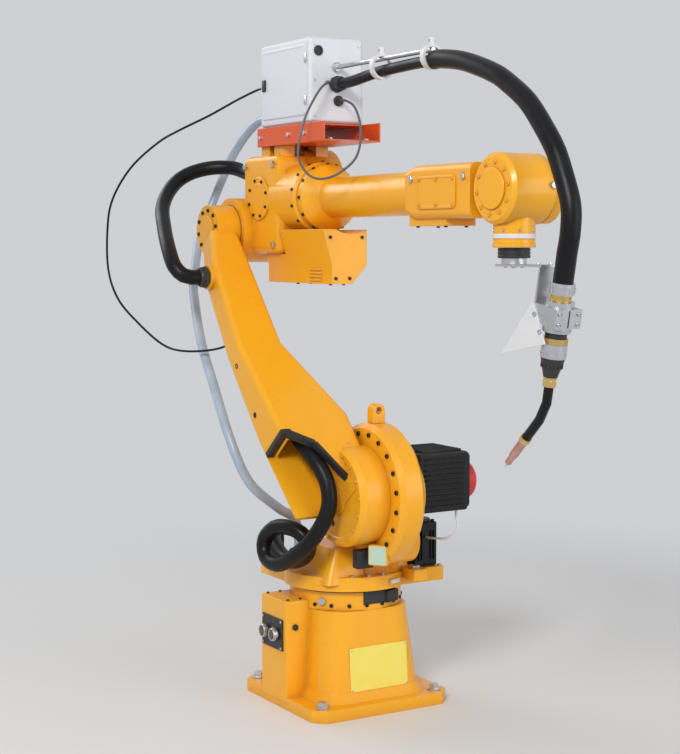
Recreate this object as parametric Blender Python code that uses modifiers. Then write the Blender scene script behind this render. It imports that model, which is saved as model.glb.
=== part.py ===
"""Six-axis arc welding robot with a wire feeder on its elbow and a torch on its wrist.

Units are metres and +Z is up. The origin is on the floor at the centre of the square base, which
is the first axis. The arm reaches towards +X, and the lower arm hangs on the -Y side of the turret.
Each moving section has an empty on its joint's axis, and its pieces are modelled about that empty.
"""

from math import cos, pi, radians, sin

import bmesh
import bpy
from mathutils import Matrix, Vector

# Seats and clearances
SEAT_GAP = 0.0003
RUNNING_GAP = 0.0006
CUT_OVERRUN = 0.012
MERGE_DISTANCE = 0.00001
ROUND_SEGMENTS = 40
SMALL_SEGMENTS = 20
WIRE_SEGMENTS = 8
CORNER_STEPS = 4
ARC_STEPS = 8

# Kinematic lengths and the pose that the robot stands in
SHOULDER_REACH = 0.146
LOWER_ARM_LENGTH = 0.853
LOWER_ARM_LEAN = radians(40.7)
FOREARM_OFFSET = 0.080
FOREARM_REACH = 1.107
TOOL_DROP = 0.159
TORCH_TILT = radians(11.1)

# Base casting
BASE_WIDTH = 0.392
BASE_THICKNESS = 0.030
BASE_CORNER_CUT = 0.030
ANCHOR_SPACING = 0.325
ANCHOR_HOLE_RADIUS = 0.009
PEDESTAL_FOOT_LENGTH = 0.310
PEDESTAL_FOOT_WIDTH = 0.280
PEDESTAL_TOP_LENGTH = 0.280
PEDESTAL_TOP_WIDTH = 0.258
PEDESTAL_FOOT_RADIUS = 0.055
PEDESTAL_TOP_RADIUS = 0.085
PEDESTAL_FLARE = 0.014
PEDESTAL_FLARE_HEIGHT = 0.022
PEDESTAL_TOP = 0.250
PEDESTAL_CORNER_STEPS = 6
SLEW_RING_RADIUS = 0.141
SLEW_RING_TOP = 0.300
SLEW_RING_BEVEL = 0.004
STOP_WIDTH = 0.060
STOP_DEPTH = 0.014
STOP_HEIGHT = 0.032

# Connector box on the -Y side of the pedestal
CONNECTOR_BOX_LENGTH = 0.130
CONNECTOR_BOX_X = -0.020
CONNECTOR_BOX_FACE_Y = -0.198
CONNECTOR_BOX_TOP = 0.272
CONNECTOR_BOX_ROOT_Y = -0.060
CONNECTOR_BOX_BEVEL = 0.006
PANEL_LENGTH = 0.104
PANEL_LOW = 0.146
PANEL_HIGH = 0.224
PANEL_THICKNESS = 0.003
SOCKET_RADIUS = 0.015
SOCKET_LENGTH = 0.016
SOCKET_PITCH = 0.050

# Turret casting, which turns on the slewing ring
TURRET_RADIUS = 0.158
TURRET_PLATE_THICKNESS = 0.035
SHOULDER_RISE = 0.2044
SHOULDER_HEIGHT = SLEW_RING_TOP + RUNNING_GAP + TURRET_PLATE_THICKNESS + SHOULDER_RISE
TURRET_SHELF_REACH = 0.182
TURRET_SHELF_WIDTH = 0.290
MOTOR_SHELF_LENGTH = 0.100
MOTOR_SHELF_X = 0.080
MOTOR_SHELF_REACH = 0.212
WEB_FOOT_BACK = -0.125
WEB_FOOT_FRONT = 0.128
WEB_TOP_BACK = -0.035
WEB_TOP_FRONT = 0.110
WEB_FOOT_NEAR = -0.128
WEB_TOP_NEAR = -0.100
WEB_FAR = 0.118
WEB_TOP_DROP = 0.135
WEB_CORNER_RADIUS = 0.020
HOUSING_BACK = -0.030
HOUSING_FRONT = 0.188
HOUSING_DROP = 0.040
HOUSING_BEVEL = 0.014
SHOULDER_RING_RADIUS = 0.175
SHOULDER_RING_NEAR = -0.0350
SHOULDER_RING_FAR = 0.035
SHOULDER_RIM_WIDTH = 0.012
SHOULDER_REAR_RADIUS = 0.100
SHOULDER_REAR_FAR = 0.080
LOBE_RADIUS = 0.056
LOBE_X = 0.166
LOBE_DROP = 0.116
LOBE_NEAR = 0.020
LUG_WIDTH = 0.034
LUG_THICKNESS = 0.026
LUG_HEIGHT = 0.048
LUG_HOLE_RADIUS = 0.009
FRONT_LUG_LENGTH = 0.048
FRONT_LUG_WIDTH = 0.040
FRONT_LUG_X = 0.160
FRONT_LUG_Y = 0.108
FRONT_LUG_HEIGHT = 0.010

# Motors of the first two axes
SHOULDER_MOTOR_WIDTH = 0.148
SHOULDER_MOTOR_LENGTH = 0.144
SHOULDER_MOTOR_RISE = 0.025
SHOULDER_MOTOR_BEVEL = 0.006
MOTOR_CAP_RADIUS = 0.050
MOTOR_CAP_LENGTH = 0.052
MOTOR_CAP_RISE = 0.016
MOTOR_CAP_ROUNDING = 0.020
PLUG_WIDTH = 0.034
PLUG_HEIGHT = 0.040
PLUG_OFFSET = 0.030
TURRET_GLAND_X = -0.154
TURRET_GLAND_Y = -0.115
TURRET_GLAND_PITCH = 0.065
SLEW_MOTOR_X = 0.080
SLEW_MOTOR_Y = 0.170
SLEW_MOTOR_WIDTH = 0.068
SLEW_MOTOR_HEIGHT = 0.112
MOTOR_BEVEL = 0.005

# Lower arm, modelled upright about the shoulder axis: x is forward, z is along the arm
HUB_RADIUS = 0.122
HUB_NEAR = -0.115
HUB_CHAMFER = 0.016
HUB_FACE_RADIUS = 0.100
HUB_RECESS_DEPTH = 0.003
HEAD_RADIUS = 0.066
HEAD_NEAR = -0.182
HEAD_FAR = -0.1155
TRUNK_REAR = -0.030
TRUNK_FAR = -0.122
TRUNK_NEAR = -0.250
TRUNK_FOOT = -0.036
TRUNK_FOOT_FRONT = 0.092
TRUNK_MIDDLE_FRONT = 0.046
TRUNK_MIDDLE_DROP = 0.413
TRUNK_SHOULDER = 0.190
TRUNK_SHOULDER_FRONT = 0.080
TRUNK_SHOULDER_FAR = -0.042
TRUNK_NEAR_AT_HEAD = -0.200
TRUNK_NEAR_AT_NECK = -0.232
TRUNK_NECK_DROP = 0.153
TRUNK_HEAD_DROP = 0.038
TRUNK_CORNER_RADIUS = 0.014
TRUNK_WALL = 0.010
SCOOP_TOP_NEAR = 0.142
SCOOP_TOP_MIDDLE = 0.106
SCOOP_MIDDLE_Y = -0.172
SCOOP_TOP_FAR = -0.010
SCOOP_DEPTH = 0.300
SCOOP_FAR = -0.126
HOSE_BOSS_X = 0.014
HOSE_BOSS_DROP = 0.173
HOSE_BOSS_RADIUS = 0.031
HOSE_BOSS_FACE_Y = -0.246
HOSE_BOSS_ROOT_Y = -0.185

# Elbow casting, modelled about the elbow axis
ELBOW_HUB_RADIUS = 0.086
ELBOW_HUB_FAR = 0.070
ELBOW_BACK = 0.018
ELBOW_FRONT = 0.215
ELBOW_NEAR = -0.086
ELBOW_FAR = 0.086
ELBOW_LOW = -0.062
ELBOW_HIGH = 0.194
ELBOW_BEVEL = 0.018
ELBOW_FACE_X = 0.310
ELBOW_FACE_RADIUS = 0.092
ELBOW_FACE_RIM = 0.012
ELBOW_FACE_ROOT_X = 0.110
DOME_X = 0.150
DOME_Z = 0.126
DOME_RADIUS = 0.086
DOME_FAR = 0.100
DOME_NEAR = 0.000
PAD_WIDTH = 0.036
PAD_LENGTH = 0.044
PAD_HEIGHT = 0.022
PAD_BACK_X = 0.116
PAD_FRONT_X = 0.186
PAD_Y = 0.050
HOSE_INLET_Y = -0.030
HOSE_INLET_Z = 0.150
GLAND_RADIUS = 0.026
GLAND_LENGTH = 0.024
GLAND_BORE_CHAMFER = 0.004
COVER_BACK = 0.110
COVER_FRONT = 0.440
COVER_LOW = -0.136
COVER_TOP = 0.0
COVER_STEP = -0.090
COVER_NEAR_TOP = -0.082
COVER_NEAR_LOW = -0.056
COVER_FAR_TOP = 0.044
COVER_FAR_LOW = 0.002

# Wire feeder and its carrier on top of the elbow
CARRIER_BACK = 0.094
CARRIER_FRONT = 0.440
CARRIER_NEAR = -0.080
CARRIER_FAR = 0.084
CARRIER_HEIGHT = 0.048
CARRIER_SHEET = 0.004
FEEDER_BACK = 0.102
FEEDER_FRONT = 0.365
FEEDER_HEIGHT = 0.213
FEEDER_INSET = 0.003
FEEDER_BEVEL = 0.012
OUTLET_RADIUS = 0.020
OUTLET_LENGTH = 0.030
OUTLET_HEIGHT = 0.097
SOCKET_OFFSET = 0.005
SOCKET_HEIGHT = 0.056
FEEDER_SOCKET_RADIUS = 0.013
FEEDER_SOCKET_LENGTH = 0.010
SUPPORT_ROD_DIAMETER = 0.012
SUPPORT_ROD_RISE = 0.042
RING_WALL = 0.006
RING_WIDTH = 0.014
REAR_RING_X = 0.584
FRONT_RING_X = 0.798
REAR_RING_HEIGHT = 0.3740
FRONT_RING_HEIGHT = 0.3788

# Forearm, modelled about the fourth axis with x along the forearm
FLANGE_THICKNESS = 0.026
FLANGE_RADIUS = 0.084
FLANGE_NECK = 0.030
FOREARM_TUBE_RADIUS = 0.051
FOREARM_TUBE_END = 0.450
WRIST_BLOCK_END = 0.712
WRIST_BLOCK_TAPER_END = 0.490
WRIST_BLOCK_NEAR = -0.056
WRIST_BLOCK_FAR = 0.064
WRIST_BLOCK_HALF_HEIGHT = 0.060
WRIST_BLOCK_CORNER = 0.016
SLAB_BACK = 0.452
SLAB_FRONT = 0.600
SLAB_DROP = 0.016
SLAB_HALF_WIDTH = 0.040
CHEEK_NEAR = 0.0612
CHEEK_FAR = 0.084
CHEEK_RADIUS = 0.060
CHEEK_DROP = 0.014
CHEEK_ROOT = 0.660

# Wrist, modelled about the fifth axis
WRIST_RADIUS = 0.076
WRIST_NEAR = -0.058
WRIST_FAR = 0.0606
WRIST_RIM = 0.008
BARREL_RADIUS = 0.045
BARREL_END = -0.124
BARREL_BAND_WIDTH = 0.010
BARREL_BAND_STAND = 0.0015
BARREL_BAND_TOP = -0.095

# Tool side: insulating ring, flange, bracket and torch
INSULATOR_RADIUS = 0.034
TOOL_FLANGE_RADIUS = 0.027
TOOL_FLANGE_HEIGHT = 0.012
BRACKET_SHEET = 0.005
BRACKET_WIDTH = 0.056
BRACKET_BACK = -0.030
BRACKET_FRONT = 0.130
TORCH_X = 0.166
TORCH_Z = -0.036
COLLAR_RADIUS = 0.026
COLLAR_LENGTH = 0.024
UPPER_RING_RADIUS = 0.021
UPPER_RING_LENGTH = 0.014
TORCH_BODY_RADIUS = 0.030
TORCH_BODY_LENGTH = 0.064
GROOVE_RADIUS = 0.023
GROOVE_LENGTH = 0.012
LOWER_RING_RADIUS = 0.026
LOWER_RING_LENGTH = 0.012
TORCH_FOOT_RADIUS = 0.027
TORCH_FOOT_LENGTH = 0.030
HANDLE_TOP_RADIUS = 0.026
HANDLE_END_RADIUS = 0.015
HANDLE_LENGTH = 0.042
NUT_RADIUS = 0.014
NUT_LENGTH = 0.020
NECK_DIAMETER = 0.021
NECK_STRAIGHT = 0.036
NECK_BEND_X = -0.016
NECK_BEND_Z = -0.298
NECK_END_X = -0.050
NECK_END_Z = -0.346
NOZZLE_SEAT_LENGTH = 0.012
NOZZLE_SEAT_RADIUS = 0.0125
NOZZLE_LENGTH = 0.078
NOZZLE_RADIUS = 0.0100
NOZZLE_TIP_RADIUS = 0.0075
WIRE_RADIUS = 0.0016
WIRE_LENGTH = 0.012
CLAMP_TOP = -0.050
CLAMP_HEIGHT = 0.040
CLAMP_HALF_WIDTH = 0.033
CLAMP_BACK = -0.044
CLAMP_FRONT = 0.034
GUARD_THICKNESS = 0.004
GUARD_TOP_Z = -0.048
GUARD_TIP_X = -0.128
GUARD_TIP_Z = -0.182
GUARD_HEEL_X = 0.012
GUARD_HEEL_Z = -0.126

# Cables and hoses
TORCH_CABLE_DIAMETER = 0.043
FRONT_CONDUIT_DIAMETER = 0.027
HOSE_DIAMETER = 0.039
SHEATH_DIAMETER = 0.022
LEAD_DIAMETER = 0.006
TUBE_STEP_SHARE = 2.2
LEAD_STEP_SHARE = 3.5
JOIN_STUB = 0.012

# Routes, in the frame of the floor, as points chosen along each cable
TORCH_CABLE_ROUTE = [
    (0.3910, 0.0, 1.5660), (0.4200, 0.0, 1.5660), (0.5000, 0.0, 1.5540), (0.5800, 0.0, 1.5310),
    (0.6500, 0.0, 1.5030), (0.7400, 0.0, 1.4460), (0.8060, 0.0, 1.3770), (0.8420, 0.0, 1.3270),
    (0.8830, 0.0, 1.2350), (0.8850, 0.0, 1.1800), (0.8745, 0.0, 1.1309), (0.8687, 0.0, 1.1014),
    (0.8629, 0.0, 1.0721)]
FRONT_CONDUIT_ROUTE = [
    (-0.0146, 0.0, 1.5483), (0.0300, 0.0, 1.5490), (0.1000, 0.0, 1.5560), (0.1738, 0.0, 1.5618),
    (0.2800, 0.0, 1.5652), (0.3500, 0.0, 1.5660), (0.3907, 0.0, 1.5660)]
ELBOW_HOSE_ROUTE = [
    (-0.4169, -0.0300, 1.3367), (-0.4400, -0.0300, 1.3367), (-0.4800, -0.0320, 1.3460),
    (-0.5255, -0.0500, 1.3590), (-0.5620, -0.1000, 1.3583), (-0.5760, -0.1600, 1.3402),
    (-0.5698, -0.2100, 1.3056), (-0.5226, -0.2600, 1.2510), (-0.4372, -0.2950, 1.1904),
    (-0.3560, -0.3200, 1.1350), (-0.3080, -0.3260, 1.0920), (-0.2900, -0.3100, 1.0700),
    (-0.2868, -0.2900, 1.0646), (-0.2868, -0.2707, 1.0646)]
SHOULDER_HOSE_ROUTE = [
    (-0.0008, -0.1780, 0.7567), (0.0414, -0.1780, 0.7138), (0.0850, -0.1770, 0.6722),
    (0.1267, -0.1720, 0.6421), (0.1600, -0.1630, 0.6120), (0.1800, -0.1570, 0.5750),
    (0.1880, -0.1580, 0.5300), (0.1780, -0.1700, 0.4850), (0.1480, -0.1900, 0.4350),
    (0.0920, -0.2050, 0.3920), (0.0300, -0.2150, 0.3660), (-0.0200, -0.2180, 0.3780),
    (-0.0300, -0.2150, 0.4200), (0.0150, -0.2050, 0.4550), (0.0750, -0.1850, 0.4550),
    (0.1000, -0.1650, 0.4250), (0.0700, -0.1600, 0.3850), (0.0000, -0.1680, 0.3660),
    (-0.0800, -0.1620, 0.3950), (-0.1300, -0.1350, 0.4250), (-0.1540, -0.1150, 0.4050),
    (-0.1540, -0.1150, 0.3602)]

SHEATH_ROUTE = [
    (-0.3086, 0.0200, 1.4800), (-0.3500, 0.0200, 1.4800), (-0.4300, 0.0200, 1.4880),
    (-0.5170, 0.0200, 1.4800), (-0.6030, 0.0000, 1.4090), (-0.6600, -0.0300, 1.2960),
    (-0.6480, -0.0900, 1.1690), (-0.5450, -0.1600, 1.0290), (-0.3990, -0.2100, 0.8980),
    (-0.2570, -0.2400, 0.7800), (-0.1600, -0.2450, 0.6570), (-0.1250, -0.2100, 0.5500),
    (-0.1400, -0.1200, 0.4750), (-0.1530, -0.0640, 0.4400), (-0.1540, -0.0500, 0.3900),
    (-0.1540, -0.0500, 0.3602)]
FEEDER_LEAD_ROUTE = [
    (-0.3087, -0.0500, 1.5600), (-0.3300, -0.0500, 1.5600), (-0.3700, -0.0520, 1.5580),
    (-0.4200, -0.0850, 1.5350),
    (-0.4420, -0.1600, 1.4910), (-0.4620, -0.2400, 1.4500), (-0.4873, -0.2900, 1.4170),
    (-0.5277, -0.3500, 1.3518), (-0.5818, -0.3800, 1.2699), (-0.6080, -0.3850, 1.1900),
    (-0.6052, -0.3850, 1.0811), (-0.5657, -0.3750, 1.0039), (-0.5121, -0.3450, 0.9442),
    (-0.4501, -0.3000, 0.8853), (-0.3700, -0.2750, 0.8700), (-0.2950, -0.2250, 0.8760),
    (-0.2386, -0.2000, 0.8951), (-0.2161, -0.2000, 0.9145)]
FEEDER_LOOP_ROUTE = [
    (-0.0448, -0.0300, 1.5520), (-0.0300, -0.0300, 1.5520), (-0.0050, -0.0700, 1.5300),
    (0.0000, -0.1100, 1.4700), (0.0020, -0.1300, 1.4127), (0.0100, -0.1400, 1.3604),
    (0.0550, -0.1400, 1.3191), (0.1052, -0.1300, 1.3054), (0.1395, -0.1000, 1.3195),
    (0.1350, -0.0500, 1.3600), (0.1058, -0.0200, 1.4254), (0.0442, 0.0000, 1.4850),
    (-0.0150, 0.0050, 1.5073), (-0.0346, 0.0050, 1.5073)]
MOTOR_LEAD_ROUTE = [
    (0.1950, 0.2050, 0.4906), (0.1950, 0.2050, 0.4740), (0.2060, 0.2020, 0.4440),
    (0.1850, 0.1850, 0.4180), (0.1380, 0.1700, 0.4120), (0.1144, 0.1700, 0.4120)]

PARTS = bpy.data.collections.new("welding_robot")
CUTTERS = bpy.data.collections.new("cutters")


# Materials
def paint(name, colour, roughness, metallic=0.0):
    material = bpy.data.materials.new(name)
    material.use_nodes = True
    surface = material.node_tree.nodes["Principled BSDF"]
    surface.inputs["Base Color"].default_value = (*colour, 1.0)
    surface.inputs["Roughness"].default_value = roughness
    surface.inputs["Metallic"].default_value = metallic
    material.diffuse_color = (*colour, 1.0)
    return material


def make_materials():
    return {
        "casting_paint": paint("casting_paint", (1.0, 0.42, 0.02), 0.35),
        "carrier_paint": paint("carrier_paint", (0.85, 0.11, 0.01), 0.40),
        "feeder_paint": paint("feeder_paint", (0.86, 0.88, 0.92), 0.40),
        "motor_black": paint("motor_black", (0.02, 0.02, 0.022), 0.45),
        "cap_red": paint("cap_red", (0.70, 0.04, 0.03), 0.35),
        "rubber_black": paint("rubber_black", (0.015, 0.015, 0.016), 0.40),
        "plastic_black": paint("plastic_black", (0.03, 0.03, 0.03), 0.50),
        "steel": paint("steel", (0.62, 0.63, 0.65), 0.30, 1.0),
        "brass": paint("brass", (0.78, 0.56, 0.22), 0.30, 1.0),
        "white_plate": paint("white_plate", (0.85, 0.85, 0.86), 0.45),
        "sheath_plastic": paint("sheath_plastic", (0.60, 0.70, 0.80), 0.35),
        "lead_grey": paint("lead_grey", (0.20, 0.21, 0.22), 0.45),
        "nozzle_copper": paint("nozzle_copper", (0.70, 0.42, 0.38), 0.35, 1.0),
    }


# Objects and their frames
def add_object(name, data, frame, material=None, place=None):
    piece = bpy.data.objects.new(name, data)
    PARTS.objects.link(piece)
    piece.parent = frame
    if place is not None:
        piece.matrix_local = place
    if material is not None:
        data.materials.append(material)
    return piece


def axis_empty(name, location, parent=None, tilt=0.0):
    empty = bpy.data.objects.new(name, None)
    PARTS.objects.link(empty)
    empty.matrix_world = Matrix.Translation(location) @ Matrix.Rotation(tilt, 4, "Y")
    bpy.context.view_layer.update()
    if parent is not None:
        world = empty.matrix_world.copy()
        empty.parent = parent
        empty.matrix_parent_inverse = parent.matrix_world.inverted()
        empty.matrix_world = world
        bpy.context.view_layer.update()
    return empty


def as_cutter(piece):
    PARTS.objects.unlink(piece)
    CUTTERS.objects.link(piece)
    piece.hide_render = True
    piece.display_type = "WIRE"
    return piece


def combine(piece, others, operation):
    for other in others:
        as_cutter(other)
        modifier = piece.modifiers.new(operation.lower(), "BOOLEAN")
        modifier.operation = operation
        modifier.solver = "EXACT"
        modifier.object = other
    return piece


def fuse(piece, *others):
    return combine(piece, others, "UNION")


def cut(piece, *others):
    return combine(piece, others, "DIFFERENCE")


def round_edges(piece, width, segments=2, angle=radians(30)):
    modifier = piece.modifiers.new("bevel", "BEVEL")
    modifier.width = width
    modifier.segments = segments
    modifier.limit_method = "ANGLE"
    modifier.angle_limit = angle
    return piece


def mesh_from(bm, name):
    bmesh.ops.recalc_face_normals(bm, faces=bm.faces)
    mesh = bpy.data.meshes.new(name)
    bm.to_mesh(mesh)
    bm.free()
    return mesh


# Shapes
def block(name, low, high, frame, material=None):
    low, high = Vector(low), Vector(high)
    centre = Matrix.Translation((low + high) / 2)
    bm = bmesh.new()
    bmesh.ops.create_cube(bm, size=1.0, matrix=centre @ Matrix.Diagonal((*(high - low), 1.0)))
    return add_object(name, mesh_from(bm, name), frame, material)


def rod(name, start, end, radius, frame, material=None, end_radius=None, segments=ROUND_SEGMENTS):
    start, end = Vector(start), Vector(end)
    along = end - start
    turn = along.to_track_quat("Z", "Y").to_matrix().to_4x4()
    bm = bmesh.new()
    bmesh.ops.create_cone(
        bm, cap_ends=True, segments=segments, radius1=radius,
        radius2=radius if end_radius is None else end_radius, depth=along.length,
        matrix=Matrix.Translation((start + end) / 2) @ turn)
    mesh = mesh_from(bm, name)
    mesh.shade_smooth()
    mesh.set_sharp_from_angle(angle=radians(35))
    return add_object(name, mesh, frame, material)


def turned(name, profile, frame, material=None, place=None, segments=ROUND_SEGMENTS):
    """Turn a profile of (radius, height) points, top to bottom, about local Z."""
    mesh = bpy.data.meshes.new(name)
    mesh.from_pydata(
        [(radius, 0.0, height) for radius, height in profile],
        [(index, index + 1) for index in range(len(profile) - 1)], [])
    piece = add_object(name, mesh, frame, material, place)
    screw = piece.modifiers.new("turn", "SCREW")
    screw.angle = 2 * pi
    screw.steps = segments
    screw.render_steps = segments
    screw.use_merge_vertices = True
    screw.merge_threshold = MERGE_DISTANCE
    return piece


def facing(direction, origin=(0.0, 0.0, 0.0)):
    """A placement whose local Z points along the direction."""
    turn = Vector(direction).to_track_quat("Z", "Y").to_matrix().to_4x4()
    return Matrix.Translation(origin) @ turn


def flat_outline(name, outline, thickness, frame, material=None, place=None):
    """An outline in local XY, made as thick as stated, with its lower face at local z = 0."""
    curve = bpy.data.curves.new(name, "CURVE")
    curve.dimensions = "2D"
    curve.fill_mode = "BOTH"
    curve.extrude = thickness / 2
    spline = curve.splines.new("POLY")
    spline.points.add(len(outline) - 1)
    spline.use_cyclic_u = True
    for point, (across, up) in zip(spline.points, outline):
        point.co = (across, up, 0.0, 1.0)
    shape = bpy.data.objects.new(name + "_outline", curve)
    bpy.context.scene.collection.objects.link(shape)
    bpy.context.view_layer.update()
    graph = bpy.context.evaluated_depsgraph_get()
    mesh = bpy.data.meshes.new_from_object(shape.evaluated_get(graph))
    bpy.data.objects.remove(shape)
    bm = bmesh.new()
    bm.from_mesh(mesh)
    bmesh.ops.remove_doubles(bm, verts=bm.verts, dist=MERGE_DISTANCE)
    bmesh.ops.translate(bm, verts=bm.verts, vec=(0.0, 0.0, thickness / 2))
    return add_object(name, mesh_from(bm, name), frame, material, place)


SIDEWAYS = Matrix.Rotation(pi / 2, 4, "X")


def side_plate(name, outline, near, far, frame, material=None):
    """An outline of (x, z) points, reaching from y = near to y = far."""
    place = Matrix.Translation((0.0, far, 0.0)) @ SIDEWAYS
    return flat_outline(name, outline, far - near, frame, material, place)


def rounded_rectangle(x_low, x_high, y_low, y_high, radius, steps=CORNER_STEPS):
    corners = [(x_high - radius, y_high - radius, 0.0), (x_low + radius, y_high - radius, pi / 2),
               (x_low + radius, y_low + radius, pi), (x_high - radius, y_low + radius, 3 * pi / 2)]
    points = []
    for centre_x, centre_y, start in corners:
        for step in range(steps + 1):
            angle = start + step * pi / 2 / steps
            points.append((centre_x + radius * cos(angle), centre_y + radius * sin(angle)))
    return points


def loft(name, sections, frame, material=None):
    """Bridge unlike closed sections, each a list of (x, y) points with its height."""
    bm = bmesh.new()
    rings = [[bm.verts.new((x, y, height)) for x, y in points] for points, height in sections]
    for lower, upper in zip(rings, rings[1:]):
        for index in range(len(lower)):
            following = (index + 1) % len(lower)
            bm.faces.new((lower[index], lower[following], upper[following], upper[index]))
    bm.faces.new(list(reversed(rings[0])))
    bm.faces.new(rings[-1])
    return add_object(name, mesh_from(bm, name), frame, material)


def smooth_route(points, step):
    """Points a step apart on a smooth curve through the route's own points."""
    points = [Vector(point) for point in points]
    ends = [2 * points[0] - points[1]] + points + [2 * points[-1] - points[-2]]
    route = []
    for before, start, end, after in zip(ends, ends[1:], ends[2:], ends[3:]):
        pieces = max(1, round((end - start).length / step))
        for piece in range(pieces):
            share = piece / pieces
            route.append(0.5 * (2 * start + (end - before) * share
                                + (2 * before - 5 * start + 4 * end - after) * share ** 2
                                + (3 * start - before - 3 * end + after) * share ** 3))
    route.append(points[-1])
    return route


def tube(name, points, diameter, frame, material=None, sides=3, step_share=TUBE_STEP_SHARE):
    """A cable along points given in the frame of the floor."""
    curve = bpy.data.curves.new(name, "CURVE")
    curve.dimensions = "3D"
    curve.bevel_depth = diameter / 2
    curve.bevel_resolution = sides
    curve.use_fill_caps = True
    curve.resolution_u = 1
    curve.render_resolution_u = 0
    route = smooth_route(points, step_share * diameter)
    spline = curve.splines.new("POLY")
    spline.points.add(len(route) - 1)
    into_frame = frame.matrix_world.inverted()
    for point, place in zip(spline.points, route):
        point.co = (*(into_frame @ place), 1.0)
    return add_object(name, curve, frame, material)


# Base
def pedestal_section(length, width, radius, height):
    return rounded_rectangle(-length / 2, length / 2, -width / 2, width / 2, radius,
                             PEDESTAL_CORNER_STEPS), height


def base_casting(frame, material):
    half, corner = BASE_WIDTH / 2, BASE_WIDTH / 2 - BASE_CORNER_CUT
    plate = flat_outline(
        "base_casting",
        [(half, -corner), (half, corner), (corner, half), (-corner, half),
         (-half, corner), (-half, -corner), (-corner, -half), (corner, -half)],
        BASE_THICKNESS, frame, material)
    pedestal = loft("pedestal", [
        pedestal_section(PEDESTAL_FOOT_LENGTH + 2 * PEDESTAL_FLARE,
                         PEDESTAL_FOOT_WIDTH + 2 * PEDESTAL_FLARE, PEDESTAL_FOOT_RADIUS,
                         BASE_THICKNESS / 2),
        pedestal_section(PEDESTAL_FOOT_LENGTH + 2 * PEDESTAL_FLARE,
                         PEDESTAL_FOOT_WIDTH + 2 * PEDESTAL_FLARE, PEDESTAL_FOOT_RADIUS,
                         BASE_THICKNESS),
        pedestal_section(PEDESTAL_FOOT_LENGTH, PEDESTAL_FOOT_WIDTH, PEDESTAL_FOOT_RADIUS,
                         BASE_THICKNESS + PEDESTAL_FLARE_HEIGHT),
        pedestal_section(PEDESTAL_TOP_LENGTH, PEDESTAL_TOP_WIDTH, PEDESTAL_TOP_RADIUS,
                         PEDESTAL_TOP)], frame)
    connector_box = round_edges(block(
        "connector_box",
        (CONNECTOR_BOX_X - CONNECTOR_BOX_LENGTH / 2, CONNECTOR_BOX_FACE_Y, BASE_THICKNESS / 2),
        (CONNECTOR_BOX_X + CONNECTOR_BOX_LENGTH / 2, CONNECTOR_BOX_ROOT_Y, CONNECTOR_BOX_TOP),
        frame), CONNECTOR_BOX_BEVEL)
    clearance = rod("ring_clearance", (0.0, 0.0, PEDESTAL_TOP),
                    (0.0, 0.0, CONNECTOR_BOX_TOP + CUT_OVERRUN),
                    SLEW_RING_RADIUS + SEAT_GAP, frame)
    holes = []
    for across, along in ((-1, -1), (-1, 1), (1, -1), (1, 1)):
        x, y = across * ANCHOR_SPACING / 2, along * ANCHOR_SPACING / 2
        holes.append(rod("anchor_hole", (x, y, -CUT_OVERRUN),
                         (x, y, BASE_THICKNESS + CUT_OVERRUN), ANCHOR_HOLE_RADIUS, frame,
                         segments=SMALL_SEGMENTS))
    fuse(plate, pedestal, connector_box)
    return cut(plate, clearance, *holes)


def slewing_ring(frame, material):
    low = PEDESTAL_TOP + SEAT_GAP
    ring = turned("slewing_ring", [
        (0.0, SLEW_RING_TOP), (SLEW_RING_RADIUS - SLEW_RING_BEVEL, SLEW_RING_TOP),
        (SLEW_RING_RADIUS, SLEW_RING_TOP - SLEW_RING_BEVEL), (SLEW_RING_RADIUS, low),
        (0.0, low)], frame, material)
    notch_top = SLEW_RING_TOP - SLEW_RING_BEVEL
    notch = block("stop_notch", (SLEW_RING_RADIUS - STOP_DEPTH, -STOP_WIDTH / 2,
                                 notch_top - STOP_HEIGHT),
                  (SLEW_RING_RADIUS + CUT_OVERRUN, STOP_WIDTH / 2, notch_top), frame)
    return cut(ring, notch)


def rotation_stop(frame, material):
    high = SLEW_RING_TOP - SLEW_RING_BEVEL - SEAT_GAP
    return block("rotation_stop",
                 (SLEW_RING_RADIUS - STOP_DEPTH + SEAT_GAP, -STOP_WIDTH / 2 + SEAT_GAP,
                  high - STOP_HEIGHT + 2 * SEAT_GAP),
                 (SLEW_RING_RADIUS + SEAT_GAP, STOP_WIDTH / 2 - SEAT_GAP, high),
                 frame, material)


def connector_panel(frame, material):
    face = CONNECTOR_BOX_FACE_Y - SEAT_GAP
    panel = block("connector_panel",
                  (CONNECTOR_BOX_X - PANEL_LENGTH / 2, face - PANEL_THICKNESS, PANEL_LOW),
                  (CONNECTOR_BOX_X + PANEL_LENGTH / 2, face, PANEL_HIGH), frame, material)
    height = (PANEL_LOW + PANEL_HIGH) / 2
    sockets = []
    for side in (-1, 1):
        across = CONNECTOR_BOX_X + side * SOCKET_PITCH / 2
        sockets.append(rod("socket", (across, face - PANEL_THICKNESS / 2, height),
                           (across, face - PANEL_THICKNESS - SOCKET_LENGTH, height),
                           SOCKET_RADIUS, frame, segments=SMALL_SEGMENTS))
    return fuse(panel, *sockets)


# Turret
def turret_web(frame, low):
    return loft("turret_web", [
        (rounded_rectangle(WEB_FOOT_BACK, WEB_FOOT_FRONT, WEB_FOOT_NEAR, WEB_FAR,
                           WEB_CORNER_RADIUS), low),
        (rounded_rectangle(WEB_TOP_BACK, WEB_TOP_FRONT, WEB_TOP_NEAR, WEB_FAR,
                           WEB_CORNER_RADIUS), SHOULDER_HEIGHT - WEB_TOP_DROP)], frame)


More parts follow.
